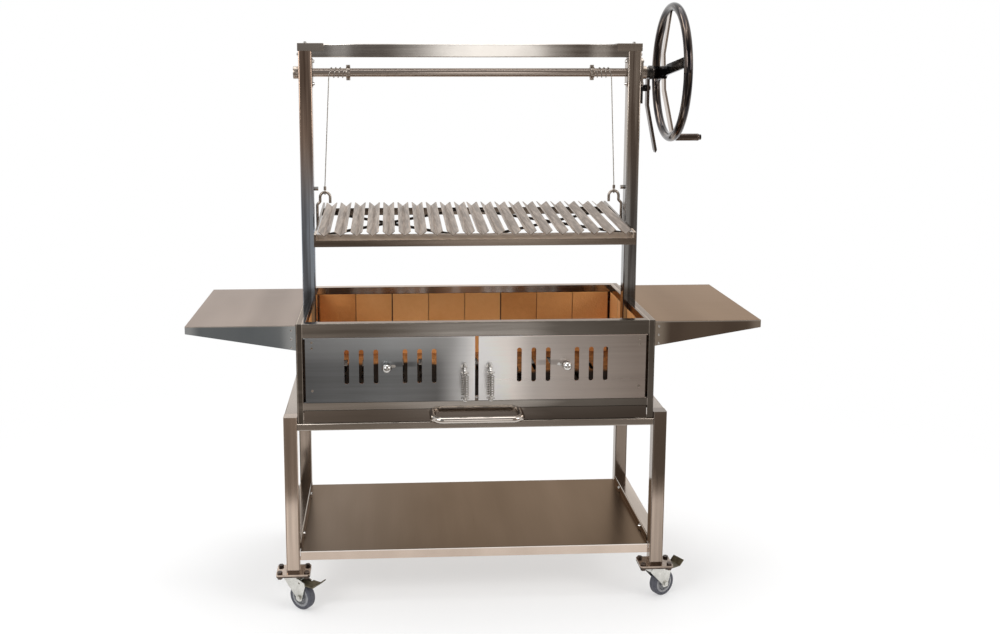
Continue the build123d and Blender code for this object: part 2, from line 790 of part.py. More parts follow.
    coil_lead = 2 * coil_wire
    coil_bend = 2.2 * coil_wire
    along = Vector(0, 0, 1)
    toward = Vector(0, -1, 0)
    coil_pitch = (coil_high - coil_low - 2 * coil_lead - 2 * coil_bend) / coil_turns
    base = Vector(s * pull_x, rod_y, coil_low + coil_lead + coil_bend)
    halves = [
        coil_point(base, along, toward, coil_radius, coil_pitch, k / 2)
        for k in range(2 * coil_turns + 1)
    ]
    foot = halves[0][0] - halves[0][2] * coil_bend - along * coil_bend
    head = halves[-1][0] + halves[-1][2] * coil_bend + along * coil_bend
    with BuildPart() as coil:
        with BuildLine():
            Line(foot - along * coil_lead, foot)
            biarc(foot, along, halves[0][0], halves[0][1])
            for low, high in zip(halves, halves[1:]):
                biarc(low[0], low[1], high[0], high[1])
            biarc(halves[-1][0], halves[-1][1], head, along)
            Line(head, head + along * coil_lead)
        with BuildSketch(Plane(origin=foot - along * coil_lead, z_dir=along)):
            Circle(coil_wire)
        sweep()
    keep(coil, f"handle_coil_{hand}")
    if s > 0:
        samples = [
            coil_point(base, along, toward, coil_radius, coil_pitch, k / 24)[0]
            for k in range(24 * coil_turns + 1)
        ]
        gap = least_turn_gap(samples, 12, coil_wire)
        print(f"handle coil: {coil_turns} turns, least gap to itself {gap:.2f} mm")

# Ash drawer that hangs by its flanges on two runners
drawer_low = box_base + drawer_lift
ledge_top = drawer_low + flange_height
with BuildPart() as drawer_runners:
    with BuildSketch(front_plane(floor_front)):
        for s in (-1, 1):
            with Locations((s * (inner_x - runner_ledge / 2), ledge_top - runner_sheet / 2)):
                Rectangle(runner_ledge, runner_sheet)
            with Locations((s * (inner_x - runner_sheet / 2), (box_base + ledge_top) / 2)):
                Rectangle(runner_sheet, ledge_top - box_base)
    extrude(amount=-(floor_back - floor_front))
keep(drawer_runners, "drawer_runners")

drawer_front_low = box_base + drawer_edge_gap
drawer_front_high = sill_top - sill_height - drawer_edge_gap
with BuildPart() as ash_drawer:
    with BuildSketch(front_plane(front_y + box_sheet)):
        with Locations((0, drawer_low + drawer_height / 2)):
            Rectangle(drawer_width, drawer_height)
    extrude(amount=-drawer_depth)
    tray_top = ash_drawer.faces().sort_by(Axis.Z)[-1]
    offset(amount=-drawer_sheet, openings=tray_top)
    with BuildSketch(front_plane(front_y + box_sheet)):
        with Locations(*[
            (s * (drawer_width + flange_width) / 2, ledge_top + drawer_sheet / 2) for s in (-1, 1)
        ]):
            Rectangle(flange_width, drawer_sheet)
    extrude(amount=-drawer_depth)
    with BuildSketch(front_plane(front_y)):
        with Locations((0, (drawer_front_low + drawer_front_high) / 2)):
            Rectangle(2 * (opening_x - 2 * drawer_edge_gap), drawer_front_high - drawer_front_low)
    extrude(amount=-box_sheet)
keep(ash_drawer, "ash_drawer")

handle_z = (drawer_front_low + drawer_front_high) / 2
with BuildPart() as drawer_handle:
    with BuildLine():
        FilletPolyline(
            (-handle_span / 2, front_y, handle_z),
            (-handle_span / 2, front_y - handle_out, handle_z),
            (handle_span / 2, front_y - handle_out, handle_z),
            (handle_span / 2, front_y, handle_z),
            radius=handle_bend,
        )
    with BuildSketch(front_plane(front_y)):
        with Locations((-handle_span / 2, handle_z)):
            Circle(handle_tube)
    sweep()
keep(drawer_handle, "drawer_handle")

# Side tables: folded pans whose front and back gussets taper outwards
table_top = rim_top - table_drop
for hand, s in (("left", -1), ("right", 1)):
    with BuildPart() as table:
        with BuildSketch(front_plane(mid_y - table_depth / 2)):
            with BuildLine():
                Polyline(
                    (s * wall_x, table_top),
                    (s * (wall_x + table_reach), table_top),
                    (s * (wall_x + table_reach), table_top - table_edge),
                    (s * wall_x, table_top - table_root),
                    close=True,
                )
            make_face()
        extrude(amount=-table_depth)
        under = table.faces().sort_by(Axis.Z)[0]
        offset(amount=-table_sheet, openings=under)
    keep(table, f"side_table_{hand}")

# Gantry: uprights inside the firebox walls, crossbar and folded corner caps
with BuildPart() as uprights:
    with BuildSketch(Plane.XY.offset(floor_level)):
        with Locations(*[(s * upright_x, mid_y) for s in (-1, 1)]):
            RectangleRounded(tube, tube, tube_corner)
            Rectangle(tube - 2 * tube_wall, tube - 2 * tube_wall, mode=Mode.SUBTRACT)
    extrude(amount=gantry_top - floor_level)
    with BuildSketch(side_plane(0)):
        with Locations((mid_y, shaft_z)):
            Circle(shaft_hole)
    extrude(amount=wall_x, both=True, mode=Mode.SUBTRACT)
keep(uprights, "uprights")

with BuildPart() as crossbar:
    with BuildSketch(side_plane(-upright_in)):
        with Locations((mid_y, gantry_top - tube / 2)):
            RectangleRounded(tube, tube, tube_corner)
            Rectangle(tube - 2 * tube_wall, tube - 2 * tube_wall, mode=Mode.SUBTRACT)
    extrude(amount=2 * upright_in)
keep(crossbar, "crossbar")

cap_low = gantry_top - cap_skirt
cap_top = gantry_top + cap_sheet
with BuildPart() as corner_caps:
    for s in (-1, 1):
        with BuildSketch(side_plane(s * inner_x)):
            with Locations((mid_y, (cap_low + cap_top) / 2)):
                Rectangle(tube + 2 * cap_sheet, cap_top - cap_low)
            with Locations((mid_y, (cap_low + gantry_top) / 2)):
                Rectangle(tube, cap_skirt, mode=Mode.SUBTRACT)
        extrude(amount=-s * cap_reach)
        with BuildSketch(side_plane(s * inner_x)):
            with Locations((mid_y, (cap_low + cap_top) / 2)):
                Rectangle(tube + 2 * cap_sheet, cap_top - cap_low)
        extrude(amount=s * cap_sheet)
keep(corner_caps, "corner_caps")

# Flange bearings on both uprights
with BuildPart() as shaft_bearings:
    for face, thick in (
        (-upright_in, bearing_liner),
        (upright_in, -bearing_liner),
        (inner_x, bearing_flange),
    ):
        with BuildSketch(side_plane(face)):
            with Locations((mid_y, shaft_z)):
                SlotOverall(bearing_height, tube, rotation=90)
        extrude(amount=thick)
    with BuildSketch(side_plane(inner_x + bearing_flange)):
        with Locations((mid_y, shaft_z)):
            Circle(bearing_boss)
    extrude(amount=bearing_boss_depth - bearing_flange / 2)
    with BuildSketch(side_plane(0)):
        with Locations((mid_y, shaft_z)):
            Circle(shaft_radius + running)
    extrude(amount=wall_x + tube, both=True, mode=Mode.SUBTRACT)
keep(shaft_bearings, "shaft_bearings")

# Lift shaft and what is fixed on it
boss_end = inner_x + bearing_flange / 2 + bearing_boss_depth
sleeve_x = boss_end + end_play
drum_x = sleeve_x + drum_stand
hub_x = drum_x + drum_width + hub_space
shaft_end = hub_x + hub_width
shaft_start = -inner_x - end_play - end_collar_width
with BuildPart() as lift_shaft:
    with BuildSketch(side_plane(shaft_start)):
        with Locations((mid_y, shaft_z)):
            Circle(shaft_radius)
    extrude(amount=shaft_end - shaft_start)
    chamfer(lift_shaft.edges().filter_by(GeomType.CIRCLE), 1)
keep(lift_shaft, "lift_shaft")

with BuildPart() as shaft_collars:
    for x, width, radius in (
        (-collar_x - collar_width / 2, collar_width, collar_radius),
        (collar_x - collar_width / 2, collar_width, collar_radius),
        (shaft_start, end_collar_width, end_collar_radius),
    ):
        with BuildSketch(side_plane(x)):
            with Locations((mid_y, shaft_z)):
                Circle(radius)
                Circle(shaft_radius + running, mode=Mode.SUBTRACT)
        extrude(amount=width)
    for way in (-1, 1):
        with BuildSketch(Plane.XY.offset(shaft_z + way * (collar_radius - collar_bolt / 2))):
            with Locations(*[(s * collar_x, mid_y) for s in (-1, 1)]):
                RegularPolygon(collar_bolt, 6)
        extrude(amount=way * (collar_bolt_rise + collar_bolt / 2))
keep(shaft_collars, "shaft_collars")

with BuildPart() as brake_drum:
    with BuildSketch(side_plane(drum_x)):
        with Locations((mid_y, shaft_z)):
            Circle(drum_radius)
    extrude(amount=drum_width)
    with BuildSketch(side_plane(sleeve_x)):
        with Locations((mid_y, shaft_z)):
            Circle(drum_sleeve)
    extrude(amount=drum_stand)
    with BuildSketch(side_plane(sleeve_x)):
        with Locations((mid_y, shaft_z)):
            Circle(shaft_radius + running)
    extrude(amount=drum_stand + drum_width, mode=Mode.SUBTRACT)
keep(brake_drum, "brake_drum")

# Cable turns on the shaft: from the collar, round the shaft, and off its front side
wind_radius = shaft_radius + cable_radius + cable_seat
wind_start = collar_x + collar_width / 2 + cable_lead + cable_bend
wind_pitch = (cable_x - wind_start - cable_bend) / cable_turns
cable_top = shaft_z - 2 * cable_bend - cable_lead
with BuildPart() as cable_windings:
    for s in (-1, 1):
        outward = Vector(s, 0, 0)
        before = Vector(0, -1, 0)
        turns = []
        for k in range(2 * cable_turns + 1):
            point, heading, tangent = coil_point(
                Vector(wind_start, mid_y, shaft_z), Vector(1, 0, 0), before,
                wind_radius, wind_pitch, k / 2,
            )
            turns.append([
                Vector(s * point.X, point.Y, point.Z),
                Vector(s * heading.X, heading.Y, heading.Z),
                tangent,
            ])
        root = turns[0][0] - turns[0][2] * cable_bend - outward * cable_bend
        drop = Vector(s * cable_x, mid_y - wind_radius, shaft_z - 2 * cable_bend)
        down = Vector(0, 0, -1)
        with BuildLine():
            Line(root - outward * cable_lead, root)
            biarc(root, outward, turns[0][0], turns[0][1])
            for low, high in zip(turns, turns[1:]):
                biarc(low[0], low[1], high[0], high[1])
            biarc(turns[-1][0], turns[-1][1], drop, down)
            Line(drop, drop + down * cable_lead)
        with BuildSketch(Plane(origin=root - outward * cable_lead, z_dir=outward)):
            Circle(cable_radius)
        sweep()
keep(cable_windings, "cable_windings")
samples = [
    coil_point(Vector(0, 0, 0), Vector(1, 0, 0), Vector(0, -1, 0), wind_radius, wind_pitch, k / 24)[0]
    for k in range(24 * cable_turns + 1)
]
gap = least_turn_gap(samples, 12, cable_radius)
print(f"cable winding: {cable_turns} turns, least gap to itself {gap:.2f} mm")

# Handwheel: dished spokes, tube rim and crank pin
rim_x = hub_x + hub_width / 2 + wheel_dish
spoke_x = hub_x + 0.73 * hub_width
pin_z = shaft_z - wheel_rim
grip_start = rim_x + wheel_tube + grip_shoulder + end_play
with BuildPart() as handwheel:
    with BuildSketch(side_plane(hub_x)):
        with Locations((mid_y, shaft_z)):
            Circle(hub_radius)
    extrude(amount=hub_width)
    with BuildSketch(front_plane(mid_y)):
        with Locations((rim_x, shaft_z + wheel_rim)):
            Circle(wheel_tube)
    revolve(axis=Axis((0, mid_y, shaft_z), (1, 0, 0)))
    for k in range(spoke_count):
        angle = radians(spoke_turn + 360 * k / spoke_count)
        radial = Vector(0, -cos(angle), sin(angle))
        blade = Plane(origin=(0, mid_y, shaft_z), x_dir=radial, z_dir=radial.cross(Vector(1, 0, 0)))
        with BuildSketch(blade):
            with BuildLine():
                Polyline(
                    (shaft_radius + 2, spoke_x),
                    (spoke_knee, spoke_x),
                    (wheel_rim - 0.6 * wheel_tube, rim_x - spoke_thick / 2),
                    (wheel_rim - 0.6 * wheel_tube, rim_x + spoke_thick / 2),
                    (spoke_knee - 1, spoke_x + spoke_thick),
                    (shaft_radius + 2, spoke_x + spoke_thick),
                    close=True,
                )
            make_face()
        extrude(amount=spoke_width / 2, both=True)
    with BuildSketch(side_plane(rim_x)):
        with Locations((mid_y, pin_z)):
            Circle(grip_head)
    extrude(amount=wheel_tube + grip_shoulder)
    with BuildSketch(side_plane(rim_x)):
        with Locations((mid_y, pin_z)):
            Circle(grip_pin)
    extrude(amount=grip_start + grip_length + end_play - rim_x)
    with BuildSketch(side_plane(grip_start + grip_length + end_play)):
        with Locations((mid_y, pin_z)):
            Circle(grip_head)
    extrude(amount=grip_shoulder)
    with BuildSketch(side_plane(hub_x)):
        with Locations((mid_y, shaft_z)):
            Circle(shaft_radius + running)
    extrude(amount=hub_width, mode=Mode.SUBTRACT)
keep(handwheel, "handwheel")

with BuildPart() as crank_grip:
    with BuildSketch(front_plane(mid_y)):
        with BuildLine():
            Polyline(
                (grip_start, pin_z + grip_pin + running),
                (grip_start, pin_z + 0.8 * grip_radius),
                (grip_start + 3, pin_z + grip_radius),
            )
            Line((grip_start + 3, pin_z + grip_radius), (grip_start + grip_length - 8, pin_z + grip_radius))
            ThreePointArc(
                (grip_start + grip_length - 8, pin_z + grip_radius),
                (grip_start + grip_length - 2, pin_z + 0.9 * grip_radius),
                (grip_start + grip_length, pin_z + 0.7 * grip_radius),
            )
            Polyline(
                (grip_start + grip_length, pin_z + 0.7 * grip_radius),
                (grip_start + grip_length, pin_z + grip_pin + running),
                (grip_start, pin_z + grip_pin + running),
            )
        make_face()
    revolve(axis=Axis((0, mid_y, pin_z), (1, 0, 0)))
keep(crank_grip, "crank_grip")

# Shaft brake: bracket on the upright and a lever whose shoe sits against the drum
lever_y = mid_y + lever_pivot_y
lever_z = shaft_z - lever_pivot_drop
lever_x = drum_x + (drum_width - lever_thick) / 2
with BuildPart() as brake_bracket:
    with BuildSketch(side_plane(inner_x)):
        with Locations(((mid_y - tube / 2 + lever_y + bracket_boss) / 2, lever_z - bracket_height / 2)):
            Rectangle(lever_y + bracket_boss - mid_y + tube / 2, bracket_height)
    extrude(amount=bracket_plate)
    with BuildSketch(side_plane(inner_x + bracket_plate)):
        with Locations((lever_y, lever_z)):
            Circle(bracket_boss)
        with Locations((lever_y, lever_z - bracket_boss)):
            Rectangle(2 * bracket_boss, 2 * bracket_boss)
    extrude(amount=bracket_plate)
    with BuildSketch(side_plane(inner_x + 2 * bracket_plate)):
        with Locations((lever_y, lever_z)):
            Circle(bracket_boss)
    extrude(amount=lever_x - inner_x - 2 * bracket_plate)
    with BuildSketch(side_plane(lever_x)):
        with Locations((lever_y, lever_z)):
            Circle(lever_pin)
    extrude(amount=lever_thick + end_play)
    with BuildSketch(side_plane(lever_x + lever_thick + end_play)):
        with Locations((lever_y, lever_z)):
            RegularPolygon(hex_radius, 6)
    extrude(amount=hex_height - 2)
keep(brake_bracket, "brake_bracket")

shoe_top = shaft_z + lever_shoe_rise
with BuildPart() as brake_lever:
    with BuildSketch(side_plane(lever_x)):
        with Locations((lever_y, (lever_z + shoe_top) / 2)):
            Rectangle(lever_width, shoe_top - lever_z)
        with Locations((lever_y, lever_z)):
            Circle(lever_width / 2)
        with Locations((mid_y, shaft_z)):
            Circle(drum_radius + drum_play, mode=Mode.SUBTRACT)
    extrude(amount=lever_thick)
    with BuildSketch(front_plane(lever_y - lever_width / 2)):
        with BuildLine():
            Polyline(
                (lever_x, lever_z),
                (lever_x + lever_thick, lever_z),
                (lever_x + lever_thick, lever_z - lever_neck),
                (lever_x + lever_lean + lever_thick, lever_z - lever_length + lever_thick),
                (lever_x + lever_lean + lever_thick / 2, lever_z - lever_length),
                (lever_x + lever_lean, lever_z - lever_length + lever_thick),
                (lever_x, lever_z - lever_neck),
                close=True,
            )
        make_face()
    extrude(amount=-lever_width)
    with BuildSketch(side_plane(lever_x)):
        with Locations((lever_y, lever_z)):
            Circle(lever_pin + running)
    extrude(amount=lever_thick, mode=Mode.SUBTRACT)
keep(brake_lever, "brake_lever")

# Grate: sloped frame with a drip channel, two sets of V-bars and hook hangers
slope = tan(radians(grate_slope))
grate_front = mid_y - grate_half_depth
vbar_start = grate_bottom + vbar_rise
side_out = grate_side_x + grate_side_thick


def vbar_level(y):
    """Height of the V-bars' lower edge at y."""
    return vbar_start + (y - grate_front) * slope


cross_ys = (
    grate_front + channel_depth - channel_ahead + cross_bar_inset,
    mid_y + grate_half_depth - cross_bar_inset,
)
with BuildPart() as grate_frame:
    channel_y = grate_front - channel_ahead
    with BuildSketch(side_plane(-side_out)):
        with BuildLine():
            Polyline(
                (channel_y, grate_bottom),
                (channel_y + channel_depth, grate_bottom),
                (channel_y + channel_depth, grate_bottom + channel_back),
                (channel_y + channel_depth - grate_sheet, grate_bottom + channel_back),
                (channel_y + channel_depth - grate_sheet, grate_bottom + grate_sheet),
                (channel_y + grate_sheet, grate_bottom + grate_sheet),
                (channel_y + grate_sheet, grate_bottom + channel_height),
                (channel_y, grate_bottom + channel_height),
                close=True,
            )
        make_face()
    extrude(amount=2 * side_out)
    for x in (-side_out, grate_side_x):
        with BuildSketch(side_plane(x)):
            with BuildLine():
                Polyline(
                    (channel_y, grate_bottom),
                    (channel_y + channel_depth, grate_bottom),
                    (mid_y + grate_half_depth, vbar_level(mid_y + grate_half_depth) - cross_bar_height),
                    (mid_y + grate_half_depth, vbar_level(mid_y + grate_half_depth) + vbar_depth),
                    (channel_y, grate_bottom + grate_side_height),
                    close=True,
                )
            make_face()
        extrude(amount=grate_side_thick)
    for y in cross_ys:
        top = vbar_level(y - cross_bar / 2) - seat_gap
        with BuildSketch(Plane.XY.offset(top)):
            with Locations((0, y)):
                Rectangle(2 * side_out, cross_bar)
        extrude(amount=-cross_bar_height)
keep(grate_frame, "grate_frame")

vbar_lean = vbar_width / 2 * vbar_wall / vbar_depth
for hand, s in (("left", -1), ("right", 1)):
    with BuildPart() as vbars:
        rise_dir = Vector(0, 1, slope).normalized()
        start = Plane(origin=(0, grate_front, vbar_start), x_dir=(1, 0, 0), z_dir=-rise_dir)
        with BuildSketch(start):
            for k in range(vbar_count):
                x = s * (vbar_inner_x + k * vbar_pitch)
                with BuildLine():
                    Polyline(
                        (x - vbar_width / 2, vbar_depth),
                        (x, 0),
                        (x + vbar_width / 2, vbar_depth),
                        (x + vbar_width / 2 - vbar_lean, vbar_depth),
                        (x, vbar_wall),
                        (x - vbar_width / 2 + vbar_lean, vbar_depth),
                        close=True,
                    )
                make_face()
        extrude(amount=-2 * grate_half_depth)
    keep(vbars, f"v_bars_{hand}")

hook_top = hanger_hook_z + hanger_hook
leg_side = side_out + hanger_rod + running
with BuildPart() as grate_hangers:
    for s in (-1, 1):
        inner = s * (hanger_hook_x - hanger_hook)
        outer = s * (hanger_hook_x + hanger_hook)
        jog = abs(leg_side - hanger_hook_x - hanger_hook)
        foot_z = vbar_level(mid_y) - hanger_foot + vbar_depth
        with BuildLine(front_plane(mid_y)):
            FilletPolyline(
                (s * leg_side, foot_z),
                (s * leg_side, hanger_hook_z - hanger_tip - jog / 2),
                (outer, hanger_hook_z - hanger_tip + jog / 2),
                (outer, hanger_hook_z),
                radius=hanger_jog,
            )
            ThreePointArc((outer, hanger_hook_z), (s * hanger_hook_x, hook_top), (inner, hanger_hook_z))
            Line((inner, hanger_hook_z), (inner, hanger_hook_z - hanger_tip))
        with BuildSketch(Plane.XY.offset(foot_z)):
            with Locations((s * leg_side, mid_y)):
                Circle(hanger_rod)
        sweep()
    for s in (-1, 1):
        with BuildSketch(side_plane(s * hanger_hook_x)):
            with Locations((mid_y, hook_top)):
                Circle(eye_radius + cable_radius)
                Circle(eye_radius - cable_radius, mode=Mode.SUBTRACT)
        extrude(amount=cable_radius, both=True)
        with BuildSketch(Plane.XY.offset(hook_top + eye_radius)):
            with Locations((s * hanger_hook_x, mid_y)):
                Circle(ferrule_radius)
        extrude(amount=ferrule_length)
keep(grate_hangers, "grate_hangers")

# Lift cables from the shaft to the ferrules
cable_low = hook_top + eye_radius + ferrule_length
with BuildPart() as lift_cables:
    for s in (-1, 1):
        run = Vector(s * (hanger_hook_x - cable_x), wind_radius, cable_low - cable_top)
        with BuildSketch(Plane.XY.offset(cable_top)):
            with Locations((s * cable_x, mid_y - wind_radius)):
                Circle(cable_radius)
        extrude(amount=run.length, dir=run.normalized())
keep(lift_cables, "lift_cables")

# Domed bolts: bearings, caps, uprights, shelf, and the stops above the hangers
shelf_bolt_y = 150.0
shelf_bolt_z = shelf_level + shelf_side - dome_radius - shelf_sheet / 2
foot_bolt_zs = (floor_level + foot_bolt_rise, rim_top - foot_bolt_drop)
cap_bolt_z = gantry_top - cap_bolt_drop
shelf_face = shelf_width / 2 - shelf_sheet
dome_spots = []
for s in (-1, 1):
    for v in (-1, 1):
        dome_spots.append((s * (upright_in - bearing_liner), -s, mid_y, shaft_z + v * bearing_bolt))
        dome_spots.append((s * shelf_face, -s, mid_y + v * shelf_bolt_y, shelf_bolt_z))
    for z in foot_bolt_zs:
        dome_spots.append((s * upright_in, -s, mid_y, z))
    dome_spots.append((s * inner_x, s, mid_y, cap_bolt_z))
for v in (-1, 1):
    dome_spots.append((inner_x + bearing_flange, 1, mid_y, shaft_z + v * bearing_bolt))
with BuildPart() as dome_bolts:
    for x, way, y, z in dome_spots:
        with BuildSketch(side_plane(x)):
            with Locations((y, z)):
                Circle(dome_radius)
        extrude(amount=way * dome_height, taper=25)
    for s in (-1, 1):
        with BuildSketch(side_plane(s * upright_in)):
            with Locations((mid_y, stop_z)):
                RegularPolygon(stop_bolt, 6)
        extrude(amount=-s * stop_reach)
        with BuildSketch(Plane.XY.offset(cap_top)):
            with Locations((s * upright_x, mid_y)):
                Circle(dome_radius)
        extrude(amount=dome_height, taper=25)
keep(dome_bolts, "dome_bolts")
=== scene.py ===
# %% [markdown]
# A wheeled asado grill in stainless steel. The solids come packed from the CAD model, already in
# metres and in place, so this lesson is about what makes them look like the real thing: the
# photographer's camera, polished and brushed steel, fired clay, wire rope and wound springs.

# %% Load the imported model
import math

import bpy
from mathutils import Matrix, Vector


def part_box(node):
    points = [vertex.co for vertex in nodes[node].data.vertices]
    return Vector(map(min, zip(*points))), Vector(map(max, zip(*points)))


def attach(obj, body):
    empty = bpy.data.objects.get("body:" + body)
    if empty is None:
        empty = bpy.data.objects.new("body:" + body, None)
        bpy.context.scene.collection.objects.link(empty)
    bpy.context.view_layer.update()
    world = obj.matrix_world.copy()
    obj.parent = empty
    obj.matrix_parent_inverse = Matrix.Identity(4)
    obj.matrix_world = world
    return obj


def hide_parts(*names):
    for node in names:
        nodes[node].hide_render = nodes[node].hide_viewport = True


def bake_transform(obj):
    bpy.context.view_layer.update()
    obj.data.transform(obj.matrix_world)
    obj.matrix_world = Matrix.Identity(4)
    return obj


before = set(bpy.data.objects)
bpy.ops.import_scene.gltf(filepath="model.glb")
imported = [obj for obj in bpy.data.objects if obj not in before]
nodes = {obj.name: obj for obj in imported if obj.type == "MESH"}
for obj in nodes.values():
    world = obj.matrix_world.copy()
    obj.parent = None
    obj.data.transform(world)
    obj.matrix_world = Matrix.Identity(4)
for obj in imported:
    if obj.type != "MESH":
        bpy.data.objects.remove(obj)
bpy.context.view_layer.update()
scene = bpy.context.scene
bpy.ops.object.select_all(action="DESELECT")

# %% [markdown]
# The camera stands where the photographer stood, as far as the fit to the photo tells: about
# 3.2 m in front, a little left of the middle, just below eye height, looking slightly down. The
# picture seems to be cropped off-centre, and a lens shift does the same without a turn.

# %% Camera
middle_y = sum(fold_highlight[1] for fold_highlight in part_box("crossbar")) / 2
camera_x, camera_back, camera_z = -0.2351, 3.2415, 1.5132
look_down, look_right = 8.83, 3.07
bpy.ops.object.camera_add(
    location=(camera_x, middle_y - camera_back, camera_z),
    rotation=(math.radians(90 - look_down), 0, math.radians(-look_right)),
)
camera = bpy.context.object
camera.data.lens = 40.13
camera.data.shift_x = 0.0505
camera.data.shift_y = -0.0777
scene.camera = camera
scene.view_settings.view_transform = "Standard"
print("camera at", [round(c, 3) for c in camera.location])

# %% [markdown]
# Shader maths reads best as sums. A thin wrapper round a socket lets `1 - mask * 0.4` build its
# own Math nodes, and one method adds every other node with its settings and inputs.


# %% Shader helpers
class Signal:
    """A socket that can be added to, multiplied by or taken from numbers and other signals."""

    def __init__(self, finish, out):
        self.finish = finish
        self.out = out

    def _math(self, operation, first, second=0.0):
        return self.finish.add("ShaderNodeMath", {"operation": operation}, {0: first, 1: second})

    def __add__(self, other):
        return self._math("ADD", self, other)

    __radd__ = __add__

    def __sub__(self, other):
        return self._math("SUBTRACT", self, other)

    def __rsub__(self, other):
        return self._math("SUBTRACT", other, self)

    def __mul__(self, other):
        return self._math("MULTIPLY", self, other)

    def __truediv__(self, other):
        return self._math("DIVIDE", self, other)

    def __abs__(self):
        return self._math("ABSOLUTE", self)

    def floor(self):
        return self._math("FLOOR", self)

    def fraction(self):
        return self._math("FRACT", self)

    def root(self):
        return self._math("SQRT", self)

    def angle_from(self, other):
        return self._math("ARCTAN2", self, other)

    def step_above(self, level):
        return self._math("GREATER_THAN", self, level)


class Finish:
    """One material, built node by node on a Principled shader."""

    def __init__(self, name, **constants):
        self.material = bpy.data.materials.new(name)
        self.material.use_nodes = True
        self.tree = self.material.node_tree
        self.shader = self.tree.nodes["Principled BSDF"]
        for socket, value in constants.items():
            self.shader.inputs[socket.replace("_", " ")].default_value = value

    def add(self, kind, settings, inputs, output=0):
        node = self.tree.nodes.new(kind)
        for key, value in settings.items():
            if key == "stops":
                ramp = node.color_ramp.elements
                while len(ramp) < len(value):
                    ramp.new(1.0)
                for element, (place, colour) in zip(ramp, value):
                    element.position = place
                    element.color = (*colour, 1.0)
            else:
                setattr(node, key, value)
        for key, value in inputs.items():
            if isinstance(value, Signal):
                self.tree.links.new(value.out, node.inputs[key])
            else:
                node.inputs[key].default_value = value
        return Signal(self, node.outputs[output])

    def place(self):
        return self.add("ShaderNodeTexCoord", {}, {}, "Object")

    def axis(self, name):
        return self.add("ShaderNodeSeparateXYZ", {}, {0: self.place()}, name)

    def noise(self, scale, detail=4.0, rough=0.55, stretch=(1, 1, 1)):
        where = self.add("ShaderNodeMapping", {}, {"Vector": self.place(), "Scale": stretch})
        return self.add(
            "ShaderNodeTexNoise", {},
            {"Vector": where, "Scale": scale, "Detail": detail, "Roughness": rough},
        )

    def rise(self, signal, low, high):
        """0 up to low, 1 from high on, and a smooth rise between."""
        return self.add(
            "ShaderNodeMapRange", {"interpolation_type": "SMOOTHSTEP"},
            {"Value": signal, "From Min": low, "From Max": high},
        )

    def band(self, signal, middle, half, soft):
        """1 within half of the middle, fading to 0 over soft."""
        return 1 - self.rise(abs(signal - middle), half, half + soft)

    def ramp(self, signal, *stops):
        return self.add("ShaderNodeValToRGB", {"stops": stops}, {0: signal})

    def blend(self, amount, first, second, how="MIX"):
        return self.add(
            "ShaderNodeMix", {"data_type": "RGBA", "blend_type": how},
            {"Factor": amount, 6: first, 7: second}, 2,
        )

    def bump(self, height, strength, distance):
        return self.add(
            "ShaderNodeBump", {},
            {"Strength": strength, "Distance": distance, "Height": height},
        )

    def feed(self, **signals):
        for socket, signal in signals.items():
            self.tree.links.new(signal.out, self.shader.inputs[socket.replace("_", " ")])
        return self.material


def rgba(red, green, blue):
    """A colour as shader inputs take it."""
    return (red, green, blue, 1.0)


def dress(material, *names):
    """Give the named nodes a material."""
    for name in names:
        nodes[name].data.materials[0] = material
    print(material.name, "on", ", ".join(names))


# %% [markdown]
# A plain pale studio: white paper and a white backdrop, from whichever side the camera looks. In
# front of the grill mirrored rays see something else than the camera does, because the steel in the
# photo looks as if it mirrored such a place. From a metre out the floor is warm grey, with a
# painted pool of light right of the middle that only mirrored rays see, and the room is grey too,
# cool on the left and warm on the right. It gives the legs their pale feet and dark tops, and the
# doors their lighter middle.
# Near the grill the paper is lit as it is, so that it keeps the shadow. Soft lamps add
# highlights, and a tall panel near the camera shows in the crossbar.

# %% Studio
white = rgba(1, 1, 1)
room_grey = rgba(0.33, 0.295, 0.265)
paper_end = -1.0
shadow_near, shadow_far = 0.9, 2.4
shadow_share = 0.55
light_pool_y, light_pool_half, light_pool_soft = -3.0, 0.7, 0.5
light_pool_left, light_pool_right = (-0.35, 0.15), (0.45, 1.3)
light_pool_strength = 0.8
bpy.ops.mesh.primitive_plane_add(size=40)
floor = bpy.context.object
floor.name = "studio_floor"
paper = Finish("studio_paper", Roughness=0.9)
floor.data.materials.append(paper.material)
paper.shader.inputs["Base Color"].default_value = rgba(0.94, 0.94, 0.94)
seen, mirrored, passed = (
    paper.add("ShaderNodeLightPath", {}, {}, f"Is {name} Ray")
    for name in ("Camera", "Glossy", "Transmission")
)
reach = paper.add("ShaderNodeVectorMath", {"operation": "LENGTH"}, {0: paper.place()}, "Value")
far = paper.rise(reach, shadow_near, shadow_far)
front = 1 - paper.rise(paper.axis("Y"), paper_end - 0.08, paper_end)
# A painted pool of light on the floor, seen only by mirrored rays.
light_pool_x = paper.rise(paper.axis("X"), *light_pool_left)
light_pool_x = light_pool_x * (1 - paper.rise(paper.axis("X"), *light_pool_right))
light_pool = light_pool_x * paper.band(paper.axis("Y"), light_pool_y, light_pool_half, light_pool_soft)
grey_floor = paper.blend(light_pool * light_pool_strength, room_grey, white)
shade = paper.blend(front * (1 - seen), white, grey_floor)
glow = paper.add("ShaderNodeEmission", {}, {"Color": shade, "Strength": 1.0})
sheet = Signal(paper, paper.shader.outputs[0])
plain = (1 - (1 - far) * (1 - front) * shadow_share) * (seen + mirrored + passed)
shown = paper.add("ShaderNodeMixShader", {}, {0: plain, 1: sheet, 2: glow})
paper.tree.links.new(shown.out, paper.tree.nodes["Material Output"].inputs["Surface"])


class Room(Finish):
    """The world's nodes, built in the same way as a finish."""

    def __init__(self, world):
        world.use_nodes = True
        self.material = world
        self.tree = world.node_tree
        self.shader = self.tree.nodes["Background"]

    def place(self):
        return self.add("ShaderNodeTexCoord", {}, {}, "Generated")


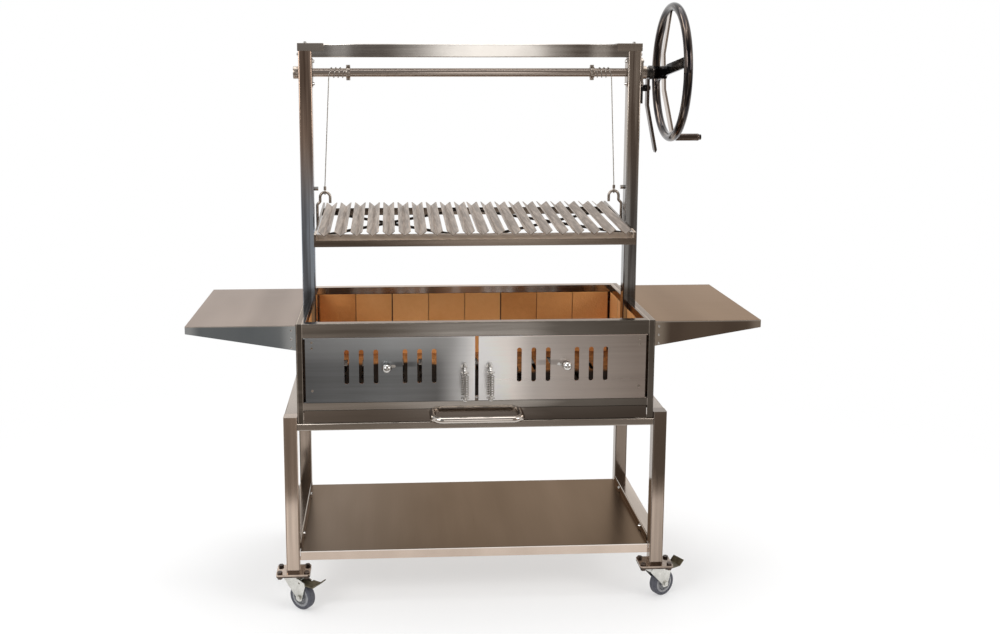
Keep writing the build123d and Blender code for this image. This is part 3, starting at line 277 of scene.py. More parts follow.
scene.world = scene.world or bpy.data.worlds.new("studio")
room = Room(scene.world)
behind_camera = room.ramp(
    room.axis("X") * 0.5 + 0.5, (0.3, (0.27, 0.295, 0.32)), (0.7, (0.32, 0.272, 0.232))
)
backdrop = room.blend(room.rise(room.axis("Y"), -0.8, 0.05), behind_camera, white)
looked_at = room.add("ShaderNodeLightPath", {}, {}, "Is Camera Ray")
room.feed(Color=room.blend(looked_at, backdrop, white))


def soft_lamp(name, place, aim, size, watts, height=None):
    """A lamp at place that faces aim and stays out of the picture."""
    bpy.ops.object.light_add(type="AREA", location=place)
    lamp = bpy.context.object
    lamp.name = name
    lamp.rotation_euler = (Vector(aim) - Vector(place)).to_track_quat("-Z", "Y").to_euler()
    lamp.data.shape = "RECTANGLE"
    lamp.data.size = size
    lamp.data.size_y = height or size
    lamp.data.energy = watts
    lamp.visible_camera = False


soft_lamp("lamp_left", (-2.6, -2.8, 2.9), (0, 0, 0.8), 1.8, 60)
soft_lamp("lamp_right", (2.9, -2.2, 2.4), (0, 0, 0.9), 1.4, 32)
soft_lamp("lamp_above", (0.0, 0.3, 3.8), (0, 0, 0.8), 2.6, 50)
soft_lamp("lamp_panel", (0.42, -4.4, 1.3), (0.2, 0, 1.0), 0.8, 6, 2.4)

# %% [markdown]
# Polished square tube. Mill polish leaves fine lines along the tube and soft cloudy bands where
# the steel is a little uneven. Noise stretched along the tube gives the lines, a slow noise the
# clouds, and both move the colour and the roughness together. A tone function can lighten or
# darken a part of a piece, such as the middle of the crossbar, and a tint function can change its
# hue, such as the cool lower half of the uprights. Both follow what the photo shows in those
# places; much of it may be what the steel mirrors there. They paint reflections, highlights and
# shade into the colour, such as the painted highlight in the middle of the crossbar and the
# painted cool reflection on the lower half of the uprights, so they are no known properties of
# the steel.


# %% Polished steel
def polished_steel(
    name, light, dark, stretch, shine=0.16, tone=None, streak=0.5,
    reflection_tint=None, edge_tint=white, dull=None,
):
    """Mill-polished stainless with lines along the long axis of the piece."""
    finish = Finish(name, Metallic=1.0, IOR=2.5, Specular_Tint=edge_tint)
    lines = finish.noise(60.0, 3.0, 0.6, stretch)
    clouds = finish.noise(3.2, 2.0, 0.5, tuple(0.35 + 0.65 * s for s in stretch))
    smears = finish.noise(14.0, 5.0, 0.6)
    level = clouds * 1.3 - 0.15 + (lines - 0.5) * streak
    # The tone function and the tint function paint reflections, highlights and shade into the
    # colour.
    if tone:
        level = level + tone(finish)
    colour = finish.ramp(level, (0.1, dark), (0.9, light))
    if reflection_tint:
        colour = reflection_tint(finish, colour)
    roughness = smears * 0.12 + lines * 0.06 + (shine - 0.09)
    if dull:
        roughness = roughness + dull(finish)
    return finish.feed(
        Base_Color=colour,
        Roughness=roughness,
        Normal=finish.bump(lines, 0.05, 0.0004),
    )


def upright_painted_reflection(finish):
    """Painted reflections: a highlight stripe along the inner edge, low down, and a lighter
    right-hand tube above.
    """
    inner_edge = 0.463
    highlight_stripe = finish.band(abs(finish.axis("X")), inner_edge, 0.003, 0.004)
    high = finish.rise(finish.axis("Z"), 1.0, 1.3)
    right = finish.rise(finish.axis("X"), -0.1, 0.1)
    return highlight_stripe * (1 - high) * 0.8 + right * high * 0.16 - 0.1


def upright_reflection_hue(finish, colour):
    """Painted reflection hues: cool low down, most on the left, and warmer at the top left."""
    left = 1 - finish.rise(finish.axis("X"), -0.1, 0.1)
    low = 1 - finish.rise(finish.axis("Z"), 1.05, 1.35)
    hue = finish.blend(left, rgba(0.76, 0.90, 1.06), rgba(0.85, 1.16, 1.62))
    cooled = finish.blend(low, colour, hue, "MULTIPLY")
    return finish.blend(left * (1 - low), cooled, rgba(1.02, 0.86, 0.77), "MULTIPLY")


def leg_painted_shade(finish):
    """Painted shade: the right-hand and the rear legs are darker, on the right most of all high up.
    """
    right = finish.rise(finish.axis("X"), -0.1, 0.1)
    rear = finish.rise(finish.axis("Y"), -0.1, 0.1)
    high = finish.rise(finish.axis("Z"), 0.28, 0.45)
    return 0.14 - high * 0.06 - right * (0.42 + high * 0.5) - rear * 0.62


def crossbar_painted_highlight(finish):
    """Painted highlights: bright in the middle and once near each end, painted shade between."""
    middle = finish.band(finish.axis("X"), 0.05, 0.06, 0.26)
    highlight_spots = finish.band(abs(finish.axis("X")), 0.375, 0.008, 0.035)
    between = finish.band(abs(finish.axis("X")), 0.27, 0.03, 0.05)
    return middle * 0.7 + highlight_spots * 0.5 - between * 0.15 - 0.24


def frame_painted_light(finish):
    """Painted light: posts darker than header and sill, painted highlights on the folds; darker at
    the right, lighter behind.
    """
    across = abs(finish.axis("X"))
    post_start, inner_fold, outer_fold, sill_z = 0.477, 0.4782, 0.4925, 0.587
    post = finish.rise(across, post_start, post_start + 0.003)
    fold = finish.band(across, inner_fold, 0.0009, 0.0006)
    fold = fold + finish.band(across, outer_fold, 0.0009, 0.0006)
    sill = finish.band(finish.axis("Z"), sill_z, 0.009, 0.003)
    right = finish.rise(finish.axis("X"), 0.1, 0.3)
    rear = finish.rise(finish.axis("Y"), 0.15, 0.2)
    return sill * 0.16 - post * 0.5 - right * 0.52 + fold * 0.7 + rear * 0.6 - 0.04


def drawer_painted_reflection(finish):
    """Painted reflection of the handle: lighter above it; painted shade darker towards the right.
    """
    above = finish.rise(finish.axis("Z"), 0.566, 0.571)
    handle_reflection = finish.band(finish.axis("X"), 0.0, 0.11, 0.03) * above
    return handle_reflection * 0.9 - finish.rise(finish.axis("X"), 0.0, 0.3) * 0.35


def drawer_ash(finish):
    """Behind its front the drawer is a tray. The photo does not show it; it is taken to be dull."""
    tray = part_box("ash_drawer")[0][1] + 0.004
    return finish.rise(finish.axis("Y"), tray, tray + 0.003) * 0.38


upright_tube = polished_steel(
    "upright_tube", (0.60, 0.525, 0.455), (0.19, 0.15, 0.122), (1, 1, 0.03), 0.15,
    upright_painted_reflection, 2.2, upright_reflection_hue,
)
leg_tube = polished_steel(
    "leg_tube", (0.66, 0.53, 0.435), (0.20, 0.158, 0.127), (1, 1, 0.03), 0.12, leg_painted_shade, 0.7
)
crossbar_tube = polished_steel(
    "crossbar_tube", (0.78, 0.74, 0.69), (0.22, 0.19, 0.165), (0.03, 1, 1), 0.15, crossbar_painted_highlight
)
cross_tube = polished_steel("cross_tube", (0.52, 0.46, 0.40), (0.24, 0.205, 0.175), (0.03, 1, 1))
depth_tube = polished_steel("depth_tube", (0.52, 0.44, 0.37), (0.25, 0.205, 0.17), (1, 0.03, 1))
frame_sheet = polished_steel(
    "frame_sheet", (0.60, 0.55, 0.50), (0.16, 0.14, 0.12), (0.03, 1, 1), 0.13, frame_painted_light, 0.8,
    edge_tint=rgba(0.88, 0.80, 0.74),
)
drawer_sheet = polished_steel(
    "drawer_sheet", (0.36, 0.31, 0.27), (0.115, 0.094, 0.078), (0.04, 1, 1), 0.1, drawer_painted_reflection, 0.3,
    dull=drawer_ash,
)
bright_tube = polished_steel(
    "bright_tube", (0.68, 0.63, 0.58), (0.42, 0.37, 0.325), (0.1, 1, 1), 0.12, streak=0.25
)
shaft_steel = polished_steel(
    "shaft_steel", (0.50, 0.43, 0.38), (0.36, 0.30, 0.255), (0.02, 1, 1), 0.15, streak=0.1
)
dress(upright_tube, "uprights")
dress(leg_tube, "legs")
dress(crossbar_tube, "crossbar")
dress(cross_tube, "cross_rails", "corner_caps")
dress(depth_tube, "side_rails")
dress(frame_sheet, "front_frame", "top_rim")
dress(drawer_sheet, "ash_drawer")
dress(bright_tube, "drawer_handle")
dress(shaft_steel, "lift_shaft")

# %% [markdown]
# The tables and the shelf are rolled sheet with a directional grit. The grain is noise squeezed
# hard across the rolling direction; it tints the steel, roughens it and lifts a very shallow bump.
# Their folded fronts look smoother in the photo, so the height along the sheet decides which
# finish shows. Tops and folds carry painted reflections, the tops darker and the folds lighter,
# and the left side is painted cooler. The fold edges and the fold ends carry painted highlights,
# and near each table's root a band and a seam are painted shade.


# %% Brushed sheet with polished folds
def folded_sheet(name, fold_z, top, fold, stretch, edge_tint, shade=None, gleam=None):
    """Brushed above fold_z and polished on the folds below; top and fold are dark, light pairs."""
    finish = Finish(name, Metallic=1.0, IOR=2.5, Specular_Tint=edge_tint)
    grain = finish.noise(45.0, 6.0, 0.7, stretch)
    patches = finish.noise(2.4, 2.0, 0.5, (2.5, 0.6, 1))
    level = patches * 0.9 + (grain - 0.5) * 0.4
    if shade:
        level = level + shade(finish)
    brushed = finish.ramp(level, (0.1, top[0]), (0.9, top[1]))
    # A painted cool reflection over the left side.
    left = 1 - finish.rise(finish.axis("X"), -0.45, 0.0)
    brushed = finish.blend(left * 0.8, brushed, rgba(1.12, 1.28, 1.5), "MULTIPLY")
    polished = finish.ramp(finish.noise(6.0, 3.0, 0.5, (1, 1, 0.3)), (0.3, fold[0]), (0.7, fold[1]))
    # Painted reflections on the ends of the fold.
    if gleam:
        fold_middle, fold_half = 0.648, 0.105
        ends = 1 - finish.band(abs(finish.axis("X")), fold_middle, fold_half, 0.035)
        polished = finish.blend(ends, polished, gleam)
    # A painted highlight along the edge of the fold.
    fold_highlight = finish.band(finish.axis("Z"), fold_z - 0.0012, 0.0012, 0.0008)
    polished = finish.blend(fold_highlight * 0.6, polished, rgba(0.95, 0.92, 0.88))
    flat = finish.rise(finish.axis("Z"), fold_z - 0.001, fold_z)
    return finish.feed(
        Base_Color=finish.blend(flat, polished, brushed),
        Roughness=grain * 0.12 + flat * 0.16 + 0.08,
        Normal=finish.bump(grain * flat, 0.12, 0.0004),
    )


def table_shade(finish):
    """Painted shade: a soft dark band across the sheet near its root, and a black painted shadow
    along the seam at the root itself.
    """
    across = abs(finish.axis("X"))
    band_x = 0.585
    seam_shadow = 1 - finish.rise(across, table_root + 0.0025, table_root + 0.004)
    return finish.band(across, band_x, 0.012, 0.06) * -0.28 - seam_shadow * 0.9


table_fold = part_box("side_table_right")[1][2] - 0.0004
table_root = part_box("top_rim")[1][0]
shelf_fold = 0.1616
# Lit and shaded copies: the left table has painted light and cool reflections on its fold, the
# right one painted shade.
table_left = folded_sheet(
    "table_left", table_fold, ((0.215, 0.152, 0.11), (0.38, 0.28, 0.21)),
    ((0.28, 0.33, 0.375), (0.43, 0.485, 0.53)), (0.02, 1, 1), rgba(0.92, 0.87, 0.84),
    table_shade, rgba(0.70, 0.78, 0.84),
)
table_right = folded_sheet(
    "table_right", table_fold, ((0.18, 0.125, 0.088), (0.28, 0.205, 0.15)),
    ((0.15, 0.115, 0.09), (0.25, 0.195, 0.155)), (0.02, 1, 1), rgba(0.84, 0.72, 0.62),
    table_shade, rgba(0.47, 0.41, 0.345),
)
shelf_sheet = folded_sheet(
    "shelf_sheet", shelf_fold, ((0.10, 0.07, 0.048), (0.20, 0.148, 0.108)),
    ((0.49, 0.395, 0.325), (0.61, 0.50, 0.42)), (1, 0.05, 1), rgba(0.86, 0.74, 0.64),
)
dress(table_left, "side_table_left")
dress(table_right, "side_table_right")
dress(shelf_sheet, "lower_shelf")

# %% [markdown]
# The doors have a horizontal brush. As painted reflections, the left one is painted cooler than
# the right and both are painted lighter beside the pulls, and a faint painted dark reflection of
# each knob runs beside it. The hems and the inner edges of the air slots carry a painted highlight
# line.

# %% Door sheet
door_sheet = Finish("door_sheet", Metallic=1.0, IOR=2.5)
door_x = door_sheet.axis("X")
door_z = door_sheet.axis("Z")
grain = door_sheet.noise(45.0, 6.0, 0.7, (0.02, 1, 1))
haze = door_sheet.noise(4.0, 3.0, 0.5, (1, 1, 0.4))
# Painted reflection across the doors: dark and cool on the left, brightest by the pulls, warm on
# the right.
door_reflection = door_sheet.ramp(
    door_x * 1.04 + 0.5 + (haze - 0.5) * 0.05,
    (0.02, (0.34, 0.36, 0.38)), (0.25, (0.44, 0.46, 0.475)), (0.38, (0.36, 0.36, 0.36)),
    (0.46, (0.66, 0.66, 0.66)), (0.5, (0.95, 0.93, 0.91)), (0.58, (0.86, 0.81, 0.77)),
    (0.76, (0.65, 0.575, 0.525)), (0.97, (0.47, 0.40, 0.355)),
)
low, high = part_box("door_right")
across = abs(door_x)
# A painted dark reflection beside each knob, and painted highlights beside the pulls and on the
# hems.
knob_x, knob_z = 0.20, 0.704
knob_reflection_x = door_sheet.band(across, knob_x, 0.02, 0.025)
knob_reflection = door_sheet.band(door_z, knob_z, 0.004, 0.006) * knob_reflection_x
left = 1 - door_sheet.rise(door_x, -0.12, -0.06)
upper = door_sheet.rise(door_z, 0.685, 0.775)
pull_highlight = door_sheet.band(door_x, 0.03, 0.05, 0.09)
hem_highlight = door_sheet.rise(door_z, high[2] - 0.0022, high[2] - 0.0014)
hem_highlight = hem_highlight + door_sheet.rise(across, high[0] - 0.0022, high[0] - 0.0014)
strength = 0.82 + left * (upper * 0.55 - 0.26) - (1 - left) * upper * 0.1 + pull_highlight * 0.4
strength = strength + (grain - 0.5) * 0.4 + (haze - 0.5) * 0.3 - knob_reflection * 0.25

# Painted highlights along the inner edges of the air slots.
slot_pitch = 0.040
slot_edge = 0.0076
slot_z, slot_half = 0.698, 0.044
from_middle = across - (low[0] + high[0]) / 2 + slot_edge
nearest = (from_middle / slot_pitch + 0.5).fraction() - 0.5
past_middle = abs(from_middle).step_above(0.5 * slot_pitch)
past_last = abs(from_middle).step_above(3.5 * slot_pitch)
slot_highlight = door_sheet.band(nearest, 0.0, 0.018, 0.012)
slot_highlight = slot_highlight * door_sheet.band(door_z, slot_z, slot_half, 0.002) * past_middle * (1 - past_last)
strength = strength + hem_highlight * 0.5 + slot_highlight * 0.6
door_sheet.feed(
    Base_Color=door_sheet.blend(1.0, door_reflection, strength, "MULTIPLY"),
    Roughness=grain * 0.2 + 0.2,
    Normal=door_sheet.bump(grain, 0.14, 0.0004),
)
dress(door_sheet.material, "door_left", "door_right")

# %% [markdown]
# The firebox walls are plain mill sheet. The floor, which is otherwise unseen, shows through the
# air slots: it is painted dull and almost black in front, a painted shadow with a slanted edge, and
# brick orange behind it, darker on the right.

# %% Firebox sheet and soot
box_sheet = polished_steel("box_sheet", (0.56, 0.52, 0.48), (0.36, 0.33, 0.30), (1, 1, 0.04), 0.28)
dress(box_sheet, "firebox_sides", "firebox_back", "drawer_runners", "door_catch")
soot_and_shadow = Finish("soot_and_shadow", Specular_IOR_Level=0.05)
scale_noise = soot_and_shadow.noise(35.0, 6.0, 0.7)
ash = soot_and_shadow.noise(7.0, 4.0, 0.6)
# Painted shadow: almost black in front; behind its slanted edge the floor is brick orange, darker
# on the right.
shadow_black = soot_and_shadow.ramp(
    ash * 0.6 + scale_noise * 0.4, (0.35, (0.006, 0.005, 0.004)), (0.75, (0.03, 0.025, 0.02))
)
right = soot_and_shadow.rise(soot_and_shadow.axis("X"), -0.12, 0.12)
beyond_shadow = soot_and_shadow.rise(soot_and_shadow.axis("Y") + right * 0.11 + (ash - 0.5) * 0.1, 0.12, 0.17)
dust = soot_and_shadow.ramp(
    scale_noise - right * 0.25,
    (0.1, (0.13, 0.06, 0.025)), (0.3, (0.26, 0.115, 0.04)), (0.7, (0.50, 0.24, 0.09)),
)
soot_and_shadow.feed(
    Base_Color=soot_and_shadow.blend(beyond_shadow, shadow_black, dust),
    Roughness=scale_noise * 0.2 + 0.7,
    Normal=soot_and_shadow.bump(scale_noise, 0.3, 0.001),
)
dress(soot_and_shadow.material, "firebox_floor")

# %% [markdown]
# The V-bars are dull, warm-white steel with drawn lines along them and soft stains, darker towards
# the right as painted shade. The drip channel in front of them is painted dark outside as painted
# shade and bright inside as a painted highlight, and the frame behind it is painted dark as well.

# %% Grate steel
bar_steel = Finish("bar_steel", Metallic=1.0, IOR=2.5)
drawn = bar_steel.noise(150.0, 4.0, 0.7, (1, 0.012, 1))
stain = bar_steel.noise(9.0, 5.0, 0.65)
# Darker towards the right as painted shade.
stain_and_shade = stain * 0.8 + (drawn - 0.5) * 3.2 + 0.06 - bar_steel.axis("X") * 0.25
bar_steel.feed(
    Base_Color=bar_steel.ramp(stain_and_shade, (0.15, (0.22, 0.175, 0.14)), (0.85, (0.46, 0.385, 0.325))),
    Roughness=drawn * 0.2 + 0.3,
    Normal=bar_steel.bump(drawn, 0.2, 0.0005),
)
dress(bar_steel.material, "v_bars_left", "v_bars_right")

grate_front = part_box("grate_frame")[0][1]
grate_rail = Finish("grate_rail", Metallic=1.0, IOR=2.5)
rail_lines = grate_rail.noise(60.0, 4.0, 0.6, (0.03, 1, 1))
# A painted highlight inside the channel; the rail's outside is painted dark as painted shade.
channel_highlight = grate_rail.band(grate_rail.axis("Y"), grate_front + 0.028, 0.024, 0.003)
shaded_rail = grate_rail.ramp(rail_lines, (0.3, (0.13, 0.102, 0.08)), (0.7, (0.28, 0.228, 0.185)))
grate_rail.feed(
    Base_Color=grate_rail.blend(channel_highlight, shaded_rail, rgba(0.62, 0.51, 0.41)),
    Metallic=1 - channel_highlight * 0.85,
    Roughness=rail_lines * 0.2 + 0.12,
    Normal=grate_rail.bump(rail_lines, 0.05, 0.0004),
)
dress(grate_rail.material, "grate_frame")

# %% [markdown]
# Fire bricks are pressed clay. Each brick has its own tone, picked by its number along the wall;
# pores and grog give grain. The joints are dark, most of all two that show wide in the photo.


# %% Fire brick
def fire_brick(name, along, first_edge, pitch, wide_joints=(), sooted=0.0):
    """Fired clay with a tone for each brick; the first brick is black over its sooted share."""
    finish = Finish(name, Roughness=0.9)
    count = (finish.axis(along) - first_edge) / pitch
    toss = finish.add(
        "ShaderNodeTexWhiteNoise", {"noise_dimensions": "1D"}, {"W": count.floor() + 3.5}
    )
    grog = finish.noise(70.0, 6.0, 0.7)
    clouds = finish.noise(11.0, 3.0, 0.5)
    tone = toss * 0.55 + clouds * 0.4 + (grog - 0.5) * 0.35
    clay = finish.ramp(
        tone, (0.15, (0.68, 0.275, 0.075)), (0.5, (0.86, 0.39, 0.125)), (0.85, (0.96, 0.49, 0.185))
    )
    joint = abs(count.fraction() - 0.5).step_above(0.482) * 0.4
    for number in wide_joints:
        joint = joint + finish.band(count, number, 0.012, 0.008) * 0.55
    if sooted:
        joint = joint + (1 - finish.rise(count, sooted, sooted + 0.1))
    pores = finish.add(
        "ShaderNodeTexVoronoi", {}, {"Vector": finish.place(), "Scale": 160.0}, "Distance"
    )
    return finish.feed(
        Base_Color=finish.blend(joint, clay, rgba(0.06, 0.035, 0.02)),
        Roughness=grog * 0.2 + 0.75,
        Normal=finish.bump(grog + pores * 0.6, 0.35, 0.002),
    )


low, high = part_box("back_bricks")
back_clay = fire_brick("back_clay", "X", low[0], (high[0] - low[0]) / 8, (2, 5))
low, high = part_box("side_bricks")
side_clay = fire_brick("side_clay", "Y", low[1], (high[1] - low[1]) / 4, sooted=0.06)
dress(back_clay, "back_bricks")
dress(side_clay, "side_bricks")

# %% [markdown]
# The handwheel is mirror chrome painted dark, a painted reflection of dark surroundings. The
# streaks round the rim are painted reflections, noise on two angles: one round the wheel,
# stretched out, and one round the tube. The upright spokes carry a painted reflection as plain
# steel, and the level ones are painted black.

# %% Handwheel
shaft_z = 1.495
rim_x = 0.5853
rim_tube = 0.0125
hub_radius = 0.019
wheel = Finish("wheel_chrome", Metallic=1.0, IOR=2.5)
low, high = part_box("handwheel")
rim_radius = (high[2] - low[2]) / 2 - rim_tube
wheel_y = wheel.axis("Y") - middle_y
wheel_z = wheel.axis("Z") - shaft_z
from_axis = (wheel_y * wheel_y + wheel_z * wheel_z).root()
round_wheel = wheel_z.angle_from(wheel_y)
round_tube = (wheel.axis("X") - rim_x).angle_from(from_axis - rim_radius)
along_rim = wheel.add(
    "ShaderNodeCombineXYZ", {}, {0: round_wheel * 1.4, 1: round_tube * 1.6, 2: from_axis * 20}
)
# Painted reflections: streaks round the rim.
reflection_streaks = wheel.add(
    "ShaderNodeTexNoise", {}, {"Vector": along_rim, "Scale": 1.6, "Detail": 3.0, "Roughness": 0.6}
)
chrome_reflections = wheel.ramp(
    reflection_streaks,
    (0.42, (0.022, 0.02, 0.022)), (0.56, (0.075, 0.06, 0.052)),
    (0.66, (0.30, 0.235, 0.185)), (0.74, (0.10, 0.08, 0.07)),
)
# The level spokes are painted black and the upright ones carry a painted reflection.
inside = 1 - wheel.rise(from_axis, rim_radius - 0.016, rim_radius - 0.012)
spoke = inside * wheel.rise(from_axis, hub_radius, hub_radius + 0.002)
spoke_reflection = spoke * (abs(wheel_z) - abs(wheel_y)).step_above(0.0)
metal = wheel.blend(inside, chrome_reflections, rgba(0.018, 0.017, 0.018))
wheel.feed(
    Base_Color=wheel.blend(spoke_reflection, metal, rgba(0.50, 0.43, 0.375)),
    Roughness=wheel.noise(50.0, 4.0) * 0.1 + 0.05,
)
dress(wheel.material, "handwheel")

# %% [markdown]
# Knobs, pulls and dome bolts are the usual bright chrome with a thin haze. The brake's drum and
# bracket are black steel with pale scuffs, its lever a browner steel, and the crank grip is dark
# bar.

# %% Chrome and blackened steel
bright_chrome = Finish("bright_chrome", Metallic=1.0, IOR=2.5)
haze = bright_chrome.noise(60.0, 4.0)
bright_chrome.feed(
    Base_Color=bright_chrome.ramp(haze, (0.3, (0.42, 0.40, 0.38)), (0.7, (0.74, 0.72, 0.69))),
    Roughness=haze * 0.14 + 0.03,
)
black_steel = Finish("black_steel", Metallic=0.9)
scuff = black_steel.noise(55.0, 6.0, 0.7)
black_steel.feed(
    Base_Color=black_steel.ramp(scuff, (0.4, (0.022, 0.021, 0.021)), (0.75, (0.13, 0.115, 0.10))),
    Roughness=scuff * 0.3 + 0.15,
    Normal=black_steel.bump(scuff, 0.1, 0.0005),
)
lever_steel = Finish("lever_steel", Metallic=1.0, IOR=2.5)
rubbed = lever_steel.noise(40.0, 5.0, 0.65, (1, 1, 0.15))
lever_steel.feed(
    Base_Color=lever_steel.ramp(rubbed, (0.35, (0.045, 0.038, 0.035)), (0.7, (0.22, 0.175, 0.145))),
    Roughness=rubbed * 0.2 + 0.1,
)
grip_chrome = polished_steel(
    "grip_chrome", (0.20, 0.15, 0.12), (0.04, 0.032, 0.03), (0.05, 1, 1), 0.12, streak=0.8
)
dress(grip_chrome, "crank_grip")
dress(
    bright_chrome.material,
    "damper_left", "damper_right", "pull_handle_left", "pull_handle_right", "dome_bolts",
)
dress(lever_steel.material, "brake_lever")
dress(black_steel.material, "brake_bracket", "brake_drum")

# %% [markdown]
# Casters: zinc-plated forks with a cloudy grey-white plate, blue-grey tread with fine scuffs, a
# paler moulded core and olive pedals. The plates and bolts above them are painted a reddish brown,
# a painted reflection.

# %% Caster finishes
zinc = Finish("zinc", Metallic=1.0, IOR=2.5)
spangle = zinc.add("ShaderNodeTexVoronoi", {}, {"Vector": zinc.place(), "Scale": 220.0}, "Distance")
cloud = zinc.noise(30.0, 4.0, 0.6)
zinc.feed(
    Base_Color=zinc.ramp(
        cloud + spangle * 0.2, (0.3, (0.46, 0.45, 0.41)), (0.8, (0.76, 0.75, 0.71))
    ),
    Roughness=cloud * 0.25 + 0.2,
    Normal=zinc.bump(spangle, 0.05, 0.0004),
)
dull_zinc = Finish("dull_zinc", Metallic=1.0, IOR=2.5)
film = dull_zinc.noise(45.0, 5.0, 0.65)
dull_zinc.feed(
    Base_Color=dull_zinc.ramp(film, (0.3, (0.20, 0.165, 0.135)), (0.75, (0.52, 0.455, 0.395))),
    Roughness=film * 0.3 + 0.12,
)
# Painted reflection: the caster plates and bolts are painted reddish brown.
reflection_brown_steel = Finish("reflection_brown_steel", Metallic=0.9)
bloom = reflection_brown_steel.noise(60.0, 5.0, 0.65)
reflection_brown_steel.feed(
    Base_Color=reflection_brown_steel.ramp(bloom, (0.35, (0.045, 0.033, 0.027)), (0.75, (0.17, 0.13, 0.108))),
    Roughness=bloom * 0.3 + 0.15,
    Normal=reflection_brown_steel.bump(bloom, 0.1, 0.0004),
)
tread = Finish("tread")
dust = tread.noise(80.0, 6.0, 0.7)
tread.feed(
    Base_Color=tread.ramp(dust, (0.3, (0.045, 0.047, 0.062)), (0.8, (0.12, 0.122, 0.145))),
    Roughness=dust * 0.25 + 0.45,
    Normal=tread.bump(dust, 0.2, 0.0008),
)
core_plastic = Finish("core_plastic")
mould = core_plastic.noise(110.0, 4.0, 0.6)
core_plastic.feed(
    Base_Color=core_plastic.ramp(mould, (0.3, (0.22, 0.225, 0.24)), (0.8, (0.38, 0.38, 0.39))),
    Roughness=mould * 0.2 + 0.4,
    Normal=core_plastic.bump(mould, 0.1, 0.0005),
)
pedal_olive = Finish("pedal_olive", Metallic=0.6)
rub = pedal_olive.noise(60.0, 5.0, 0.65)
pedal_olive.feed(
    Base_Color=pedal_olive.ramp(rub, (0.3, (0.06, 0.05, 0.028)), (0.8, (0.20, 0.175, 0.11))),
    Roughness=rub * 0.3 + 0.3,
    Normal=pedal_olive.bump(rub, 0.1, 0.0005),
)
for prefix, finish in (
    ("caster_fork", zinc), ("tyre", tread),
    ("wheel_core", core_plastic), ("brake_pedal", pedal_olive),
):
    dress(finish.material, *(name for name in nodes if name.startswith(prefix)))
dress(reflection_brown_steel.material, "caster_plates", "caster_bolts")
dress(dull_zinc.material, "shaft_bearings", "shaft_collars", "grate_hangers", "hinge_pins")

# %% [markdown]
# Folded sheet and tube never have knife edges. A weld of the loose CAD triangles and a small bevel
# on every sharp edge give each fold a bright line of light.

# %% Softened edges
edge_radius = {
    "legs": 0.0006, "side_rails": 0.0006, "cross_rails": 0.0006, "lower_shelf": 0.0007,
    "top_rim": 0.0007, "front_frame": 0.0006, "ash_drawer": 0.0005, "side_table_left": 0.0007,
    "side_table_right": 0.0007, "uprights": 0.0006, "crossbar": 0.0006, "corner_caps": 0.0007,
    "back_bricks": 0.0012, "side_bricks": 0.0012, "v_bars_left": 0.0004, "v_bars_right": 0.0004,
    "grate_frame": 0.0005, "brake_lever": 0.0008, "brake_bracket": 0.0008, "shaft_collars": 0.0008,
    "door_left": 0.0005, "door_right": 0.0005, "caster_plates": 0.0006, "firebox_sides": 0.0005,
}
for name, width in edge_radius.items():
    weld = nodes[name].modifiers.new("join", "WELD")
    weld.merge_threshold = 0.00001
    fold = nodes[name].modifiers.new("fold", "BEVEL")
    fold.width = width
    fold.segments = 2
    fold.limit_method = "ANGLE"
    fold.angle_limit = math.radians(40)
print("softened:", len(edge_radius))

# %% [markdown]
# Wire rope is strands laid round each other. A tube whose section has six lobes, turned steadily
# as it runs along a smooth route, shows the lay without modelling every wire. The same tube with a
# round section makes the springs on the pull handles.


# %% Wound wire
def smooth_route(name, points):
    """Points along the NURBS curve that has the given points as its controls."""
    curve = bpy.data.curves.new(name, "CURVE")
    curve.dimensions = "3D"
    curve.resolution_u = 6
    spline = curve.splines.new("NURBS")
    spline.points.add(len(points) - 1)
    for target, point in zip(spline.points, points):
        target.co = (*point, 1.0)
    spline.order_u = 3
    spline.use_endpoint_u = True
    guide = bpy.data.objects.new(name, curve)
    scene.collection.objects.link(guide)
    bpy.context.view_layer.update()
    line = bpy.data.meshes.new_from_object(guide)
    route = [v.co.copy() for v in line.vertices]
    bpy.data.objects.remove(guide)
    bpy.data.meshes.remove(line)
    return route


def even_route(route, gap):
    """The same line with points an even gap apart."""
    spaced = [route[0]]
    for point in route[1:]:
        while (point - spaced[-1]).length > gap:
            spaced.append(spaced[-1] + (point - spaced[-1]).normalized() * gap)
    spaced.append(route[-1])
    return spaced


def wound_tube(name, route, radius, lobes=0, lay=0.0, sides=24):
    """A closed tube along route; with lobes, a laid rope that turns once every lay metres."""
    normal = (route[1] - route[0]).orthogonal().normalized()
    run = 0.0
    verts, faces = [], []
    for i, point in enumerate(route):
        ahead = route[min(i + 1, len(route) - 1)] - route[max(i - 1, 0)]
        ahead.normalize()
        normal = (normal - ahead * normal.dot(ahead)).normalized()
        side = ahead.cross(normal)
        if i:
            run += (point - route[i - 1]).length
        turn = 2 * math.pi * run / lay if lay else 0.0
        for k in range(sides):
            angle = 2 * math.pi * k / sides
            lobe = 0.84 + 0.16 * abs(math.cos(lobes * angle / 2)) if lobes else 1.0
            around = normal * math.cos(angle + turn) + side * math.sin(angle + turn)
            verts.append(point + around * radius * lobe)
    for i in range(len(route) - 1):
        for k in range(sides):
            a, b = i * sides + k, i * sides + (k + 1) % sides
            faces.append((a, b, b + sides, a + sides))
    faces.append(tuple(reversed(range(sides))))
    faces.append(tuple(range(len(verts) - sides, len(verts))))
    mesh = bpy.data.meshes.new(name)
    mesh.from_pydata(verts, [], faces)
    mesh.shade_smooth()
    piece = bpy.data.objects.new(name, mesh)
    scene.collection.objects.link(piece)
    return piece


